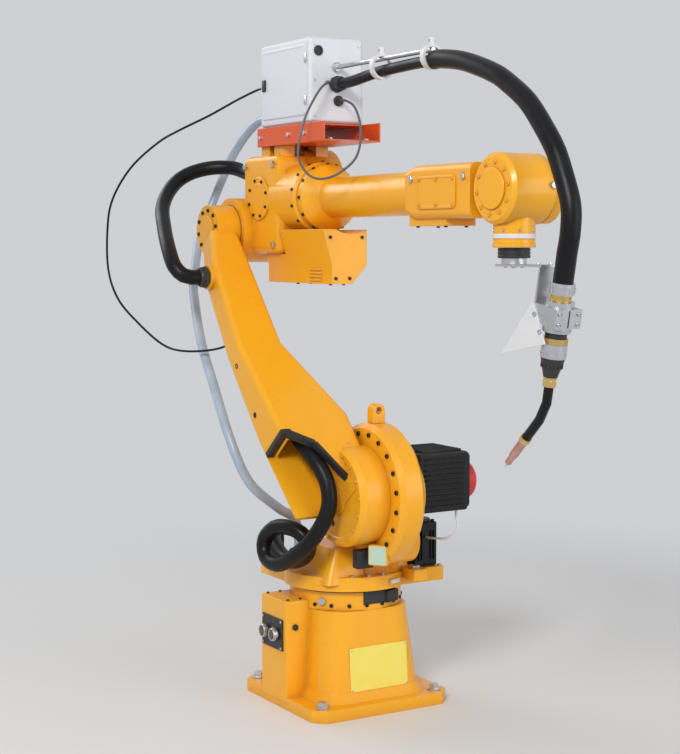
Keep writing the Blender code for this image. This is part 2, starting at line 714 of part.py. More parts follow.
def shoulder_ring_profile():
    radius, rim = SHOULDER_RING_RADIUS, SHOULDER_RIM_WIDTH
    near, far, rear = -SHOULDER_RING_NEAR, -SHOULDER_RING_FAR, -SHOULDER_REAR_FAR
    return [(0.0, near), (radius - rim, near), (radius, near - rim), (radius, far + rim),
            (radius - rim, far), (SHOULDER_REAR_RADIUS, far), (SHOULDER_REAR_RADIUS, rear),
            (0.0, rear)]


def turret_casting(frame, material):
    low = SLEW_RING_TOP + RUNNING_GAP
    high = low + TURRET_PLATE_THICKNESS
    middle = (low + high) / 2
    plate = rod("turret_casting", (0.0, 0.0, low), (0.0, 0.0, high), TURRET_RADIUS, frame,
                material)
    shelf = block("turret_shelf", (-TURRET_SHELF_REACH, -TURRET_SHELF_WIDTH / 2, low),
                  (0.0, TURRET_SHELF_WIDTH / 2, high), frame)
    motor_shelf = block(
        "motor_shelf", (MOTOR_SHELF_X - MOTOR_SHELF_LENGTH / 2, 0.0, low),
        (MOTOR_SHELF_X + MOTOR_SHELF_LENGTH / 2, MOTOR_SHELF_REACH, high), frame)
    front_lug = block(
        "front_lug", (FRONT_LUG_X - FRONT_LUG_LENGTH, FRONT_LUG_Y - FRONT_LUG_WIDTH / 2, middle),
        (FRONT_LUG_X + FRONT_LUG_LENGTH / 2, FRONT_LUG_Y + FRONT_LUG_WIDTH / 2,
         high + FRONT_LUG_HEIGHT), frame)
    web = turret_web(frame, middle)
    housing = round_edges(block(
        "shoulder_housing", (HOUSING_BACK, SHOULDER_RING_NEAR + SHOULDER_RIM_WIDTH, middle),
        (HOUSING_FRONT - LOBE_RADIUS, SHOULDER_REAR_FAR,
         SHOULDER_HEIGHT - HOUSING_DROP), frame), HOUSING_BEVEL)
    ring = turned("shoulder_ring", shoulder_ring_profile(), frame,
                  place=facing((0.0, -1.0, 0.0), (SHOULDER_REACH, 0.0, SHOULDER_HEIGHT)))
    lobe_height = SHOULDER_HEIGHT - LOBE_DROP
    lobe = rod("shoulder_lobe", (LOBE_X, LOBE_NEAR, lobe_height),
               (LOBE_X, SHOULDER_REAR_FAR, lobe_height), LOBE_RADIUS, frame)
    return fuse(plate, shelf, motor_shelf, front_lug, web, housing, ring, lobe)


def lifting_lug(frame, material):
    ring_middle = (SHOULDER_RING_NEAR + SHOULDER_RING_FAR) / 2
    low = SHOULDER_HEIGHT + SHOULDER_RING_RADIUS - RUNNING_GAP
    half = LUG_WIDTH / 2
    eye = low + LUG_HEIGHT - half
    outline = [(-half, low), (half, low)]
    for step in range(ARC_STEPS + 1):
        angle = step * pi / ARC_STEPS
        outline.append((half * cos(angle), eye + half * sin(angle)))
    plate = flat_outline("lifting_lug", outline, LUG_THICKNESS, frame, material,
                         Matrix.Translation((SHOULDER_REACH - LUG_THICKNESS / 2, ring_middle, 0.0))
                         @ Matrix.Rotation(pi / 2, 4, "Z") @ SIDEWAYS)
    eye_hole = rod("lug_hole",
                   (SHOULDER_REACH - LUG_THICKNESS / 2 - CUT_OVERRUN, ring_middle, eye),
                   (SHOULDER_REACH + LUG_THICKNESS / 2 + CUT_OVERRUN, ring_middle, eye),
                   LUG_HOLE_RADIUS, frame, segments=SMALL_SEGMENTS)
    ring_seat = rod("lug_seat",
                    (SHOULDER_REACH, SHOULDER_RING_NEAR - CUT_OVERRUN, SHOULDER_HEIGHT),
                    (SHOULDER_REACH, SHOULDER_RING_FAR + CUT_OVERRUN, SHOULDER_HEIGHT),
                    SHOULDER_RING_RADIUS + SEAT_GAP, frame)
    return cut(plate, eye_hole, ring_seat)


def shoulder_motor(frame, materials):
    half = SHOULDER_MOTOR_WIDTH / 2
    near = SHOULDER_REAR_FAR + SEAT_GAP
    far = near + SHOULDER_MOTOR_LENGTH
    low = SHOULDER_HEIGHT + SHOULDER_MOTOR_RISE - half
    round_edges(block("shoulder_motor", (SHOULDER_REACH - half, near, low),
                      (SHOULDER_REACH + half, far, low + SHOULDER_MOTOR_WIDTH), frame,
                      materials["motor_black"]), SHOULDER_MOTOR_BEVEL)
    rounding = MOTOR_CAP_ROUNDING
    profile = [(0.0, MOTOR_CAP_LENGTH)]
    for step in range(ARC_STEPS):
        angle = pi / 2 - step * pi / 2 / ARC_STEPS
        profile.append((MOTOR_CAP_RADIUS - rounding + rounding * cos(angle),
                        MOTOR_CAP_LENGTH - rounding + rounding * sin(angle)))
    profile += [(MOTOR_CAP_RADIUS, 0.0), (0.0, 0.0)]
    turned("shoulder_motor_cap", profile, frame, materials["cap_red"],
           facing((0.0, 1.0, 0.0),
                  (SHOULDER_REACH, far + SEAT_GAP, SHOULDER_HEIGHT + MOTOR_CAP_RISE)))
    across = near + PLUG_OFFSET
    round_edges(block(
        "shoulder_motor_plug",
        (SHOULDER_REACH - PLUG_WIDTH / 2, across - PLUG_WIDTH / 2, low - SEAT_GAP - PLUG_HEIGHT),
        (SHOULDER_REACH + PLUG_WIDTH / 2, across + PLUG_WIDTH / 2, low - SEAT_GAP), frame,
        materials["plastic_black"]), MOTOR_BEVEL)


def slewing_motor(frame, material):
    half = SLEW_MOTOR_WIDTH / 2
    low = SLEW_RING_TOP + RUNNING_GAP + TURRET_PLATE_THICKNESS + SEAT_GAP
    round_edges(block("slewing_motor", (SLEW_MOTOR_X - half, SLEW_MOTOR_Y - half, low),
                      (SLEW_MOTOR_X + half, SLEW_MOTOR_Y + half, low + SLEW_MOTOR_HEIGHT),
                      frame, material), MOTOR_BEVEL)


# Lower arm
def trunk_section(front, near, far, height):
    return rounded_rectangle(TRUNK_REAR, front, near, far, TRUNK_CORNER_RADIUS), height


def lower_arm_casting(frame, material):
    trunk = loft("lower_arm_casting", [
        trunk_section(TRUNK_FOOT_FRONT, TRUNK_NEAR_AT_NECK, TRUNK_SHOULDER_FAR, TRUNK_FOOT),
        trunk_section(TRUNK_SHOULDER_FRONT, TRUNK_NEAR, TRUNK_SHOULDER_FAR, TRUNK_SHOULDER),
        trunk_section(TRUNK_MIDDLE_FRONT, TRUNK_NEAR, TRUNK_FAR,
                      LOWER_ARM_LENGTH - TRUNK_MIDDLE_DROP),
        trunk_section(TRUNK_MIDDLE_FRONT, TRUNK_NEAR_AT_NECK, TRUNK_FAR,
                      LOWER_ARM_LENGTH - TRUNK_NECK_DROP),
        trunk_section(TRUNK_MIDDLE_FRONT, TRUNK_NEAR_AT_HEAD, TRUNK_FAR,
                      LOWER_ARM_LENGTH - TRUNK_HEAD_DROP)],
        frame, material)
    cavity_near = TRUNK_NEAR_AT_NECK + TRUNK_WALL
    cavity_front = TRUNK_SHOULDER_FRONT - 2 * TRUNK_WALL
    cavity = loft("arm_cavity", [
        (rounded_rectangle(TRUNK_REAR + TRUNK_WALL, TRUNK_FOOT_FRONT - TRUNK_WALL, cavity_near,
                           SCOOP_FAR, TRUNK_CORNER_RADIUS), TRUNK_FOOT - CUT_OVERRUN),
        (rounded_rectangle(TRUNK_REAR + TRUNK_WALL, cavity_front, cavity_near, SCOOP_FAR,
                           TRUNK_CORNER_RADIUS), SCOOP_DEPTH)], frame)
    front = TRUNK_FOOT_FRONT + CUT_OVERRUN
    mouth = flat_outline("arm_mouth", [
        (TRUNK_NEAR - CUT_OVERRUN, SCOOP_TOP_NEAR), (TRUNK_NEAR_AT_NECK, SCOOP_TOP_NEAR),
        (SCOOP_MIDDLE_Y, SCOOP_TOP_MIDDLE), (HUB_NEAR - SEAT_GAP, SCOOP_TOP_FAR),
        (HUB_NEAR - SEAT_GAP, TRUNK_FOOT - CUT_OVERRUN),
        (TRUNK_NEAR - CUT_OVERRUN, TRUNK_FOOT - CUT_OVERRUN)],
        front - TRUNK_REAR - TRUNK_WALL, frame, None,
        Matrix.Translation((TRUNK_REAR + TRUNK_WALL, 0.0, 0.0))
        @ Matrix.Rotation(pi / 2, 4, "Z") @ SIDEWAYS)
    cut(trunk, cavity, mouth)
    far = SHOULDER_RING_NEAR - RUNNING_GAP
    hub = turned("arm_hub", [
        (0.0, -HUB_NEAR - HUB_RECESS_DEPTH), (HUB_FACE_RADIUS - HUB_RECESS_DEPTH,
                                              -HUB_NEAR - HUB_RECESS_DEPTH),
        (HUB_FACE_RADIUS, -HUB_NEAR), (HUB_RADIUS - HUB_CHAMFER / 2, -HUB_NEAR),
        (HUB_RADIUS, -HUB_NEAR - HUB_CHAMFER), (HUB_RADIUS, -far), (0.0, -far)],
        frame, place=facing((0.0, -1.0, 0.0)))
    head = rod("arm_head", (0.0, HEAD_NEAR, LOWER_ARM_LENGTH), (0.0, HEAD_FAR, LOWER_ARM_LENGTH),
               HEAD_RADIUS, frame)
    boss_height = LOWER_ARM_LENGTH - HOSE_BOSS_DROP
    boss = rod("hose_boss", (HOSE_BOSS_X, HOSE_BOSS_ROOT_Y, boss_height),
               (HOSE_BOSS_X, HOSE_BOSS_FACE_Y, boss_height), HOSE_BOSS_RADIUS, frame)
    return fuse(trunk, hub, head, boss)


def gland(name, start, direction, frame, material):
    """A hose gland whose root seats on a flat face at start."""
    profile = [(0.0, GLAND_LENGTH), (GLAND_RADIUS - GLAND_BORE_CHAMFER, GLAND_LENGTH),
               (GLAND_RADIUS, GLAND_LENGTH - GLAND_BORE_CHAMFER), (GLAND_RADIUS, 0.0), (0.0, 0.0)]
    return turned(name, profile, frame, material, facing(direction, start),
                  segments=SMALL_SEGMENTS)


# Elbow
def elbow_casting(frame, material):
    body = round_edges(block(
        "elbow_casting", (ELBOW_BACK, ELBOW_NEAR, ELBOW_LOW), (ELBOW_FRONT, ELBOW_FAR, ELBOW_HIGH),
        frame, material), ELBOW_BEVEL)
    hub = rod("elbow_hub", (0.0, HEAD_FAR + RUNNING_GAP, 0.0), (0.0, ELBOW_HUB_FAR, 0.0),
              ELBOW_HUB_RADIUS, frame)
    face = turned("elbow_face", [
        (0.0, ELBOW_FACE_X), (ELBOW_FACE_RADIUS - ELBOW_FACE_RIM / 2, ELBOW_FACE_X),
        (ELBOW_FACE_RADIUS, ELBOW_FACE_X - ELBOW_FACE_RIM / 2),
        (ELBOW_FACE_RADIUS, ELBOW_FACE_ROOT_X), (0.0, ELBOW_FACE_ROOT_X)],
        frame, place=facing((1.0, 0.0, 0.0), (0.0, 0.0, FOREARM_OFFSET)))
    dome = rod("elbow_dome", (DOME_X, DOME_NEAR, DOME_Z), (DOME_X, DOME_FAR, DOME_Z),
               DOME_RADIUS, frame)
    pads = []
    for along in (PAD_BACK_X, PAD_FRONT_X):
        for side in (-1, 1):
            pads.append(block(
                "carrier_pad", (along - PAD_LENGTH / 2, side * PAD_Y - PAD_WIDTH / 2,
                                ELBOW_HIGH - PAD_HEIGHT),
                (along + PAD_LENGTH / 2, side * PAD_Y + PAD_WIDTH / 2,
                 ELBOW_HIGH + PAD_HEIGHT), frame))
    return fuse(body, hub, face, dome, *pads)


def motor_cover(frame, material):
    outline = [(COVER_NEAR_TOP, COVER_TOP), (COVER_NEAR_LOW, COVER_STEP),
               (COVER_NEAR_LOW, COVER_LOW), (COVER_FAR_LOW, COVER_LOW),
               (COVER_FAR_TOP, COVER_STEP), (COVER_FAR_TOP, COVER_TOP)]
    cover = loft("motor_cover", [(outline, COVER_BACK), (outline, COVER_FRONT)], frame, material)
    cover.matrix_local = Matrix(((0, 0, 1, 0), (1, 0, 0, 0), (0, 1, 0, 0), (0, 0, 0, 1)))
    body_clear = block(
        "cover_clearance", (ELBOW_BACK, ELBOW_NEAR - CUT_OVERRUN, ELBOW_LOW - SEAT_GAP),
        (ELBOW_FRONT + SEAT_GAP, ELBOW_FAR + CUT_OVERRUN, ELBOW_HIGH), frame)
    face_clear = rod("face_clearance", (0.0, 0.0, FOREARM_OFFSET),
                     (COVER_FRONT + CUT_OVERRUN, 0.0, FOREARM_OFFSET),
                     ELBOW_FACE_RADIUS + SEAT_GAP, frame)
    return cut(cover, body_clear, face_clear)


# Feeder
def feeder_carrier(frame, material):
    low = ELBOW_HIGH + PAD_HEIGHT + SEAT_GAP
    high = low + CARRIER_HEIGHT
    sheet = CARRIER_SHEET
    outline = [(CARRIER_NEAR, high), (CARRIER_NEAR, low), (CARRIER_FAR, low), (CARRIER_FAR, high),
               (CARRIER_FAR - sheet, high), (CARRIER_FAR - sheet, low + sheet),
               (CARRIER_NEAR + sheet, low + sheet), (CARRIER_NEAR + sheet, high)]
    place = Matrix(((0, 0, 1, CARRIER_BACK), (1, 0, 0, 0), (0, 1, 0, 0), (0, 0, 0, 1)))
    channel = flat_outline("feeder_carrier", outline, CARRIER_FRONT - CARRIER_BACK, frame,
                           material, place)
    top = block("carrier_top", (FEEDER_BACK, CARRIER_NEAR + sheet / 2, high - sheet),
                (FEEDER_FRONT, CARRIER_FAR - sheet / 2, high), frame)
    return fuse(channel, top)


def feeder_low():
    return ELBOW_HIGH + PAD_HEIGHT + CARRIER_HEIGHT + 2 * SEAT_GAP


def wire_feeder(frame, material):
    low = feeder_low()
    box = block("wire_feeder", (FEEDER_BACK, CARRIER_NEAR + FEEDER_INSET, low),
                (FEEDER_FRONT, CARRIER_FAR - FEEDER_INSET, low + FEEDER_HEIGHT), frame, material)
    return round_edges(box, FEEDER_BEVEL, segments=3)


def feeder_outlet(frame, material):
    height = feeder_low() + OUTLET_HEIGHT
    start = FEEDER_FRONT + SEAT_GAP
    rod("feeder_outlet", (start, 0.0, height), (start + OUTLET_LENGTH, 0.0, height),
        OUTLET_RADIUS, frame, material, segments=SMALL_SEGMENTS)
    height = feeder_low() + SOCKET_HEIGHT
    rod("feeder_socket", (start, SOCKET_OFFSET, height),
        (start + FEEDER_SOCKET_LENGTH, SOCKET_OFFSET, height), FEEDER_SOCKET_RADIUS, frame,
        material, segments=SMALL_SEGMENTS)


def cable_support(frame, material):
    height = feeder_low() + OUTLET_HEIGHT + SUPPORT_ROD_RISE
    return rod("cable_support", (FEEDER_FRONT + SEAT_GAP, 0.0, height),
               (FRONT_RING_X, 0.0, height), SUPPORT_ROD_DIAMETER / 2, frame, material,
               segments=SMALL_SEGMENTS)


def ring_clamp(name, along, conduit_height, frame, material):
    """A ring that holds the conduit and the support rod against its inner wall."""
    rod_top = feeder_low() + OUTLET_HEIGHT + SUPPORT_ROD_RISE + SUPPORT_ROD_DIAMETER / 2
    conduit_low = conduit_height - FRONT_CONDUIT_DIAMETER / 2
    centre = (rod_top + conduit_low) / 2
    inner = (rod_top - conduit_low) / 2 + SEAT_GAP
    start, end = along - RING_WIDTH, along
    ring = rod(name, (start, 0.0, centre), (end, 0.0, centre), inner + RING_WALL, frame, material)
    bore = rod("ring_bore", (start - CUT_OVERRUN, 0.0, centre), (end + CUT_OVERRUN, 0.0, centre),
               inner, frame)
    return cut(ring, bore)


# Forearm
def forearm_casting(frame, material):
    start = RUNNING_GAP
    return turned("forearm_tube", [
        (0.0, FOREARM_TUBE_END), (FOREARM_TUBE_RADIUS, FOREARM_TUBE_END),
        (FOREARM_TUBE_RADIUS, FLANGE_THICKNESS + FLANGE_NECK),
        (FLANGE_RADIUS - SLEW_RING_BEVEL, FLANGE_THICKNESS),
        (FLANGE_RADIUS, FLANGE_THICKNESS - SLEW_RING_BEVEL), (FLANGE_RADIUS, start), (0.0, start)],
        frame, material, facing((1.0, 0.0, 0.0)))


def along_x(name, sections, frame, material=None):
    """A loft of (y, z) sections along x."""
    piece = loft(name, sections, frame, material)
    piece.matrix_local = Matrix(((0, 0, 1, 0), (1, 0, 0, 0), (0, 1, 0, 0), (0, 0, 0, 1)))
    return piece


def wrist_block(frame, material):
    half, corner = WRIST_BLOCK_HALF_HEIGHT, WRIST_BLOCK_CORNER
    root = FOREARM_TUBE_RADIUS + SEAT_GAP
    large = rounded_rectangle(WRIST_BLOCK_NEAR, WRIST_BLOCK_FAR, -half, half, corner)
    small = rounded_rectangle(-root, root, -root, root, corner)
    body = along_x("wrist_block", [
        (small, FOREARM_TUBE_END + SEAT_GAP), (large, WRIST_BLOCK_TAPER_END),
        (large, WRIST_BLOCK_END)], frame, material)
    slab = block("wrist_slab", (SLAB_BACK, -SLAB_HALF_WIDTH, -half - SLAB_DROP),
                 (SLAB_FRONT, SLAB_HALF_WIDTH, 0.0), frame)
    cheek_x = wrist_x()
    cheek = rod("wrist_cheek", (cheek_x, CHEEK_NEAR, -CHEEK_DROP),
                (cheek_x, CHEEK_FAR, -CHEEK_DROP), CHEEK_RADIUS, frame)
    arm = block("cheek_arm", (CHEEK_ROOT, CHEEK_NEAR, -CHEEK_DROP - CHEEK_RADIUS),
                (cheek_x, CHEEK_FAR, half - corner), frame)
    root_block = block("cheek_root", (CHEEK_ROOT, 0.0, -half + corner),
                       (WRIST_BLOCK_END, CHEEK_FAR, half - corner), frame)
    return fuse(body, slab, arm, cheek, root_block)


# Wrist
def wrist_housing(frame, material):
    barrel = turned("wrist_housing", [
        (0.0, -WRIST_NEAR), (WRIST_RADIUS - WRIST_RIM, -WRIST_NEAR),
        (WRIST_RADIUS, -WRIST_NEAR - WRIST_RIM), (WRIST_RADIUS, -WRIST_FAR + WRIST_RIM),
        (WRIST_RADIUS - WRIST_RIM, -WRIST_FAR), (0.0, -WRIST_FAR)],
        frame, material, facing((0.0, -1.0, 0.0)))
    drop = rod("wrist_barrel", (0.0, 0.0, 0.0), (0.0, 0.0, BARREL_END), BARREL_RADIUS, frame)
    return fuse(barrel, drop)


def seal_band(frame, material):
    inner = BARREL_RADIUS + SEAT_GAP
    outer = inner + BARREL_BAND_STAND
    low = BARREL_BAND_TOP - BARREL_BAND_WIDTH
    ring = rod("seal_band", (0.0, 0.0, low), (0.0, 0.0, BARREL_BAND_TOP), outer, frame, material)
    bore = rod("band_bore", (0.0, 0.0, low - CUT_OVERRUN),
               (0.0, 0.0, BARREL_BAND_TOP + CUT_OVERRUN), inner, frame)
    return cut(ring, bore)


# Tool
def wrist_x():
    return FOREARM_REACH - ELBOW_FACE_X


def tool_flange(frame, materials):
    top = TOOL_DROP + BARREL_END - RUNNING_GAP
    seat = TOOL_FLANGE_HEIGHT + SEAT_GAP
    rod("insulating_ring", (0.0, 0.0, seat), (0.0, 0.0, top), INSULATOR_RADIUS, frame,
        materials["plastic_black"])
    rod("tool_flange", (0.0, 0.0, 0.0), (0.0, 0.0, TOOL_FLANGE_HEIGHT), TOOL_FLANGE_RADIUS, frame,
        materials["steel"])


def torch_bracket(frame, torch_frame, material):
    top = -SEAT_GAP
    half = BRACKET_WIDTH / 2
    plate = block("torch_bracket", (BRACKET_BACK, -half, top - BRACKET_SHEET),
                  (BRACKET_FRONT, half, top), frame, material)
    leg = block("bracket_leg", (CLAMP_BACK - SEAT_GAP - BRACKET_SHEET, -half,
                                CLAMP_TOP - CLAMP_HEIGHT),
                (CLAMP_BACK - SEAT_GAP, half, -TORCH_Z - BRACKET_SHEET), torch_frame)
    above = block("leg_trim", (BRACKET_BACK, -half - CUT_OVERRUN, top),
                  (BRACKET_FRONT + CUT_OVERRUN, half + CUT_OVERRUN, -TORCH_Z + CUT_OVERRUN), frame)
    fuse(plate, leg)
    return cut(plate, above)


def torch_clamp(frame, material):
    low = CLAMP_TOP - CLAMP_HEIGHT
    body = block("torch_clamp", (CLAMP_BACK, -CLAMP_HALF_WIDTH, low),
                 (CLAMP_FRONT, CLAMP_HALF_WIDTH, CLAMP_TOP), frame, material)
    bore = rod("clamp_bore", (0.0, 0.0, low - CUT_OVERRUN), (0.0, 0.0, CLAMP_TOP + CUT_OVERRUN),
               TORCH_BODY_RADIUS + SEAT_GAP, frame)
    return cut(body, bore)


def torch_guard(frame, material):
    near = -CLAMP_HALF_WIDTH - SEAT_GAP - GUARD_THICKNESS
    return side_plate("torch_guard", [
        (CLAMP_BACK, GUARD_TOP_Z), (GUARD_TIP_X, GUARD_TIP_Z), (GUARD_HEEL_X, GUARD_HEEL_Z)],
        near, near + GUARD_THICKNESS, frame, material)


def torch_stack(frame, materials):
    """The straight part of the torch: turned pieces one under the other."""
    stack = [
        ("cable_collar", COLLAR_LENGTH, COLLAR_RADIUS, COLLAR_RADIUS, "steel"),
        ("upper_brass_ring", UPPER_RING_LENGTH, UPPER_RING_RADIUS, UPPER_RING_RADIUS, "brass"),
        ("torch_body", TORCH_BODY_LENGTH, TORCH_BODY_RADIUS, TORCH_BODY_RADIUS, "steel"),
        ("torch_groove", GROOVE_LENGTH, GROOVE_RADIUS, GROOVE_RADIUS, "plastic_black"),
        ("lower_brass_ring", LOWER_RING_LENGTH, LOWER_RING_RADIUS, LOWER_RING_RADIUS, "brass"),
        ("torch_foot", TORCH_FOOT_LENGTH, TORCH_FOOT_RADIUS, TORCH_FOOT_RADIUS, "steel"),
        ("torch_handle", HANDLE_LENGTH, HANDLE_TOP_RADIUS, HANDLE_END_RADIUS, "plastic_black"),
        ("neck_nut", NUT_LENGTH, NUT_RADIUS, NUT_RADIUS, "brass")]
    depth = 0.0
    for name, length, radius, end_radius, material in stack:
        rod(name, (0.0, 0.0, -depth), (0.0, 0.0, -depth - length), radius, frame,
            materials[material], end_radius)
        depth += length + SEAT_GAP
    return depth


def torch_neck(frame, depth, materials):
    """The swan neck and the gas nozzle below the nut, in the torch's own frame."""
    floor = frame.matrix_world
    start = Vector((0.0, 0.0, -depth))
    bend = Vector((NECK_BEND_X, 0.0, NECK_BEND_Z))
    end = Vector((NECK_END_X, 0.0, NECK_END_Z))
    route = [start, start + Vector((0.0, 0.0, -NECK_STRAIGHT)), bend, end]
    tube("torch_neck", [floor @ point for point in route], NECK_DIAMETER, frame,
         materials["rubber_black"])
    tip_way = (end - bend).normalized()
    seat = end + tip_way * SEAT_GAP
    seat_end = seat + tip_way * NOZZLE_SEAT_LENGTH
    rod("nozzle_seat", seat, seat_end, NOZZLE_SEAT_RADIUS, frame, materials["brass"],
        segments=SMALL_SEGMENTS)
    nozzle = seat_end + tip_way * SEAT_GAP
    tip = nozzle + tip_way * NOZZLE_LENGTH
    rod("gas_nozzle", nozzle, tip, NOZZLE_RADIUS, frame, materials["nozzle_copper"],
        NOZZLE_TIP_RADIUS, SMALL_SEGMENTS)
    wire = tip + tip_way * SEAT_GAP
    rod("welding_wire", wire, wire + tip_way * WIRE_LENGTH, WIRE_RADIUS, frame,
        materials["steel"], segments=WIRE_SEGMENTS)


# Cables
def split_route(route, joins):
    """Stretches of a route that meet square at the listed points, with a seat gap between."""
    points = [Vector(point) for point in route]
    stretches = []
    start = []
    last = 0
    for join in joins:
        place = points[join]
        along = (points[join + 1] - points[join - 1]).normalized()
        stretches.append(start + points[last + 1 if start else 0:join]
                         + [place - along * JOIN_STUB, place])
        start = [place + along * SEAT_GAP, place + along * (SEAT_GAP + JOIN_STUB)]
        last = join
    stretches.append(start + points[last + 1:])
    return stretches


def torch_cable(elbow, forearm, wrist, material):
    rear, middle, front = split_route(TORCH_CABLE_ROUTE, (4, 7))
    tube("torch_cable_rear", rear, TORCH_CABLE_DIAMETER, elbow, material)
    tube("torch_cable_middle", middle, TORCH_CABLE_DIAMETER, forearm, material)
    tube("torch_cable_front", front, TORCH_CABLE_DIAMETER, wrist, material)


def sheath(lower_arm, turret, material):
    upper, lower = split_route(SHEATH_ROUTE, (7,))
    tube("sheath_upper", upper, SHEATH_DIAMETER, lower_arm, material)
    tube("sheath_lower", lower, SHEATH_DIAMETER, turret, material)


def lead(name, route, frame, material):
    return tube(name, route, LEAD_DIAMETER, frame, material, 2, LEAD_STEP_SHARE)


def build_robot():
    materials = make_materials()
    orange = materials["casting_paint"]
    rubber = materials["rubber_black"]

    base = axis_empty("base_axis", (0.0, 0.0, 0.0))
    turret = axis_empty("turret_axis", (0.0, 0.0, 0.0), base)
    shoulder = Vector((SHOULDER_REACH, 0.0, SHOULDER_HEIGHT))
    lower_arm = axis_empty("shoulder_axis", shoulder, turret, -LOWER_ARM_LEAN)
    elbow_point = lower_arm.matrix_world @ Vector((0.0, 0.0, LOWER_ARM_LENGTH))
    elbow = axis_empty("elbow_axis", elbow_point, lower_arm)
    forearm_root = elbow_point + Vector((ELBOW_FACE_X, 0.0, FOREARM_OFFSET))
    forearm = axis_empty("forearm_axis", forearm_root, elbow)
    wrist_point = elbow_point + Vector((FOREARM_REACH, 0.0, FOREARM_OFFSET))
    wrist = axis_empty("wrist_axis", wrist_point, forearm)
    tool_point = wrist_point + Vector((0.0, 0.0, -TOOL_DROP))
    tool = axis_empty("tool_axis", tool_point, wrist)
    torch_point = tool_point + Vector((TORCH_X, 0.0, TORCH_Z))
    torch = axis_empty("torch_axis", torch_point, tool, TORCH_TILT)

    base_casting(base, orange)
    slewing_ring(base, orange)
    rotation_stop(base, materials["plastic_black"])
    connector_panel(base, materials["plastic_black"])

    turret_casting(turret, orange)
    lifting_lug(turret, orange)
    shoulder_motor(turret, materials)
    slewing_motor(turret, materials["motor_black"])
    plate_top = SLEW_RING_TOP + RUNNING_GAP + TURRET_PLATE_THICKNESS
    for place, name in enumerate(("turret_hose_gland", "turret_sheath_gland")):
        gland(name, (TURRET_GLAND_X, TURRET_GLAND_Y + place * TURRET_GLAND_PITCH,
                     plate_top + SEAT_GAP), (0.0, 0.0, 1.0), turret, rubber)

    lower_arm_casting(lower_arm, orange)
    gland("arm_hose_gland",
          (HOSE_BOSS_X, HOSE_BOSS_FACE_Y - SEAT_GAP, LOWER_ARM_LENGTH - HOSE_BOSS_DROP),
          (0.0, -1.0, 0.0), lower_arm, rubber)

    elbow_casting(elbow, orange)
    motor_cover(elbow, orange)
    gland("elbow_hose_gland", (ELBOW_BACK - SEAT_GAP, HOSE_INLET_Y, HOSE_INLET_Z),
          (-1.0, 0.0, 0.0), elbow, rubber)
    feeder_carrier(elbow, materials["carrier_paint"])
    wire_feeder(elbow, materials["feeder_paint"])
    feeder_outlet(elbow, rubber)
    cable_support(elbow, materials["steel"])
    ring_clamp("rear_ring_clamp", REAR_RING_X, REAR_RING_HEIGHT, elbow, materials["white_plate"])
    ring_clamp("front_ring_clamp", FRONT_RING_X, FRONT_RING_HEIGHT, elbow,
               materials["white_plate"])

    forearm_casting(forearm, orange)
    wrist_block(forearm, orange)
    wrist_housing(wrist, orange)
    seal_band(wrist, materials["white_plate"])

    tool_flange(tool, materials)
    torch_bracket(tool, torch, materials["steel"])
    torch_clamp(torch, materials["steel"])
    torch_guard(torch, materials["white_plate"])
    depth = torch_stack(torch, materials)
    torch_neck(torch, depth, materials)

    torch_cable(elbow, forearm, wrist, rubber)
    tube("front_conduit", FRONT_CONDUIT_ROUTE, FRONT_CONDUIT_DIAMETER, elbow, rubber)
    tube("elbow_hose", ELBOW_HOSE_ROUTE, HOSE_DIAMETER, lower_arm, rubber)
    tube("shoulder_hose", SHOULDER_HOSE_ROUTE, HOSE_DIAMETER, turret, rubber)
    sheath(lower_arm, turret, materials["sheath_plastic"])
    lead("feeder_lead", FEEDER_LEAD_ROUTE, lower_arm, rubber)
    lead("feeder_loop", FEEDER_LOOP_ROUTE, elbow, materials["lead_grey"])
    lead("motor_lead", MOTOR_LEAD_ROUTE, turret, materials["white_plate"])


for existing in list(bpy.data.objects):
    bpy.data.objects.remove(existing)
bpy.context.scene.collection.children.link(PARTS)
bpy.context.scene.collection.children.link(CUTTERS)
build_robot()
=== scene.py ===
from math import atan2, cos, pi, radians, sin, tan

import bmesh
import bpy
from mathutils import Matrix, Vector


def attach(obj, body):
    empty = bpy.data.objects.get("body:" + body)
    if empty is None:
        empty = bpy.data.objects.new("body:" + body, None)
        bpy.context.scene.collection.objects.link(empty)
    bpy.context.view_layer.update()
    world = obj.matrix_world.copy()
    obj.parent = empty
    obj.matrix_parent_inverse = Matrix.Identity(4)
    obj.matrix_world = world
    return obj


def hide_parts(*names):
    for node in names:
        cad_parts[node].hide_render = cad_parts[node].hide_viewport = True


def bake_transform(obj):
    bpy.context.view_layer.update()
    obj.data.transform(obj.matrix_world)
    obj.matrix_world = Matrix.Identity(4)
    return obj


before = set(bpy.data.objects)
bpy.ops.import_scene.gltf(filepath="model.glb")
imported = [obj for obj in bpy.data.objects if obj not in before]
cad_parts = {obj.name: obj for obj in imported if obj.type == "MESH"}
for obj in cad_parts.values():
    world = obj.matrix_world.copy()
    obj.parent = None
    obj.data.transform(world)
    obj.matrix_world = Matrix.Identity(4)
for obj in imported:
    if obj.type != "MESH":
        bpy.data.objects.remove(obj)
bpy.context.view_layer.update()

scene = bpy.context.scene
NEAR, FAR = (0, -1, 0), (0, 1, 0)
UP, DOWN = (0, 0, 1), (0, 0, -1)
AHEAD, BACK = (1, 0, 0), (-1, 0, 0)
SIDES = (-1, 1)
MM = 0.001


# Shader tools. Each surface is a Principled shader with soft noise in its colour and roughness and
# a fine relief over it, and these helpers lay and join its nodes.
def node(owner, kind, **values):
    made = owner.node_tree.nodes.new(kind)
    for name, value in values.items():
        if name in made.inputs:
            made.inputs[name].default_value = value
        else:
            setattr(made, name, value)
    return made


def wire_up(owner, *ends):
    for start, end in ends:
        owner.node_tree.links.new(start, end)


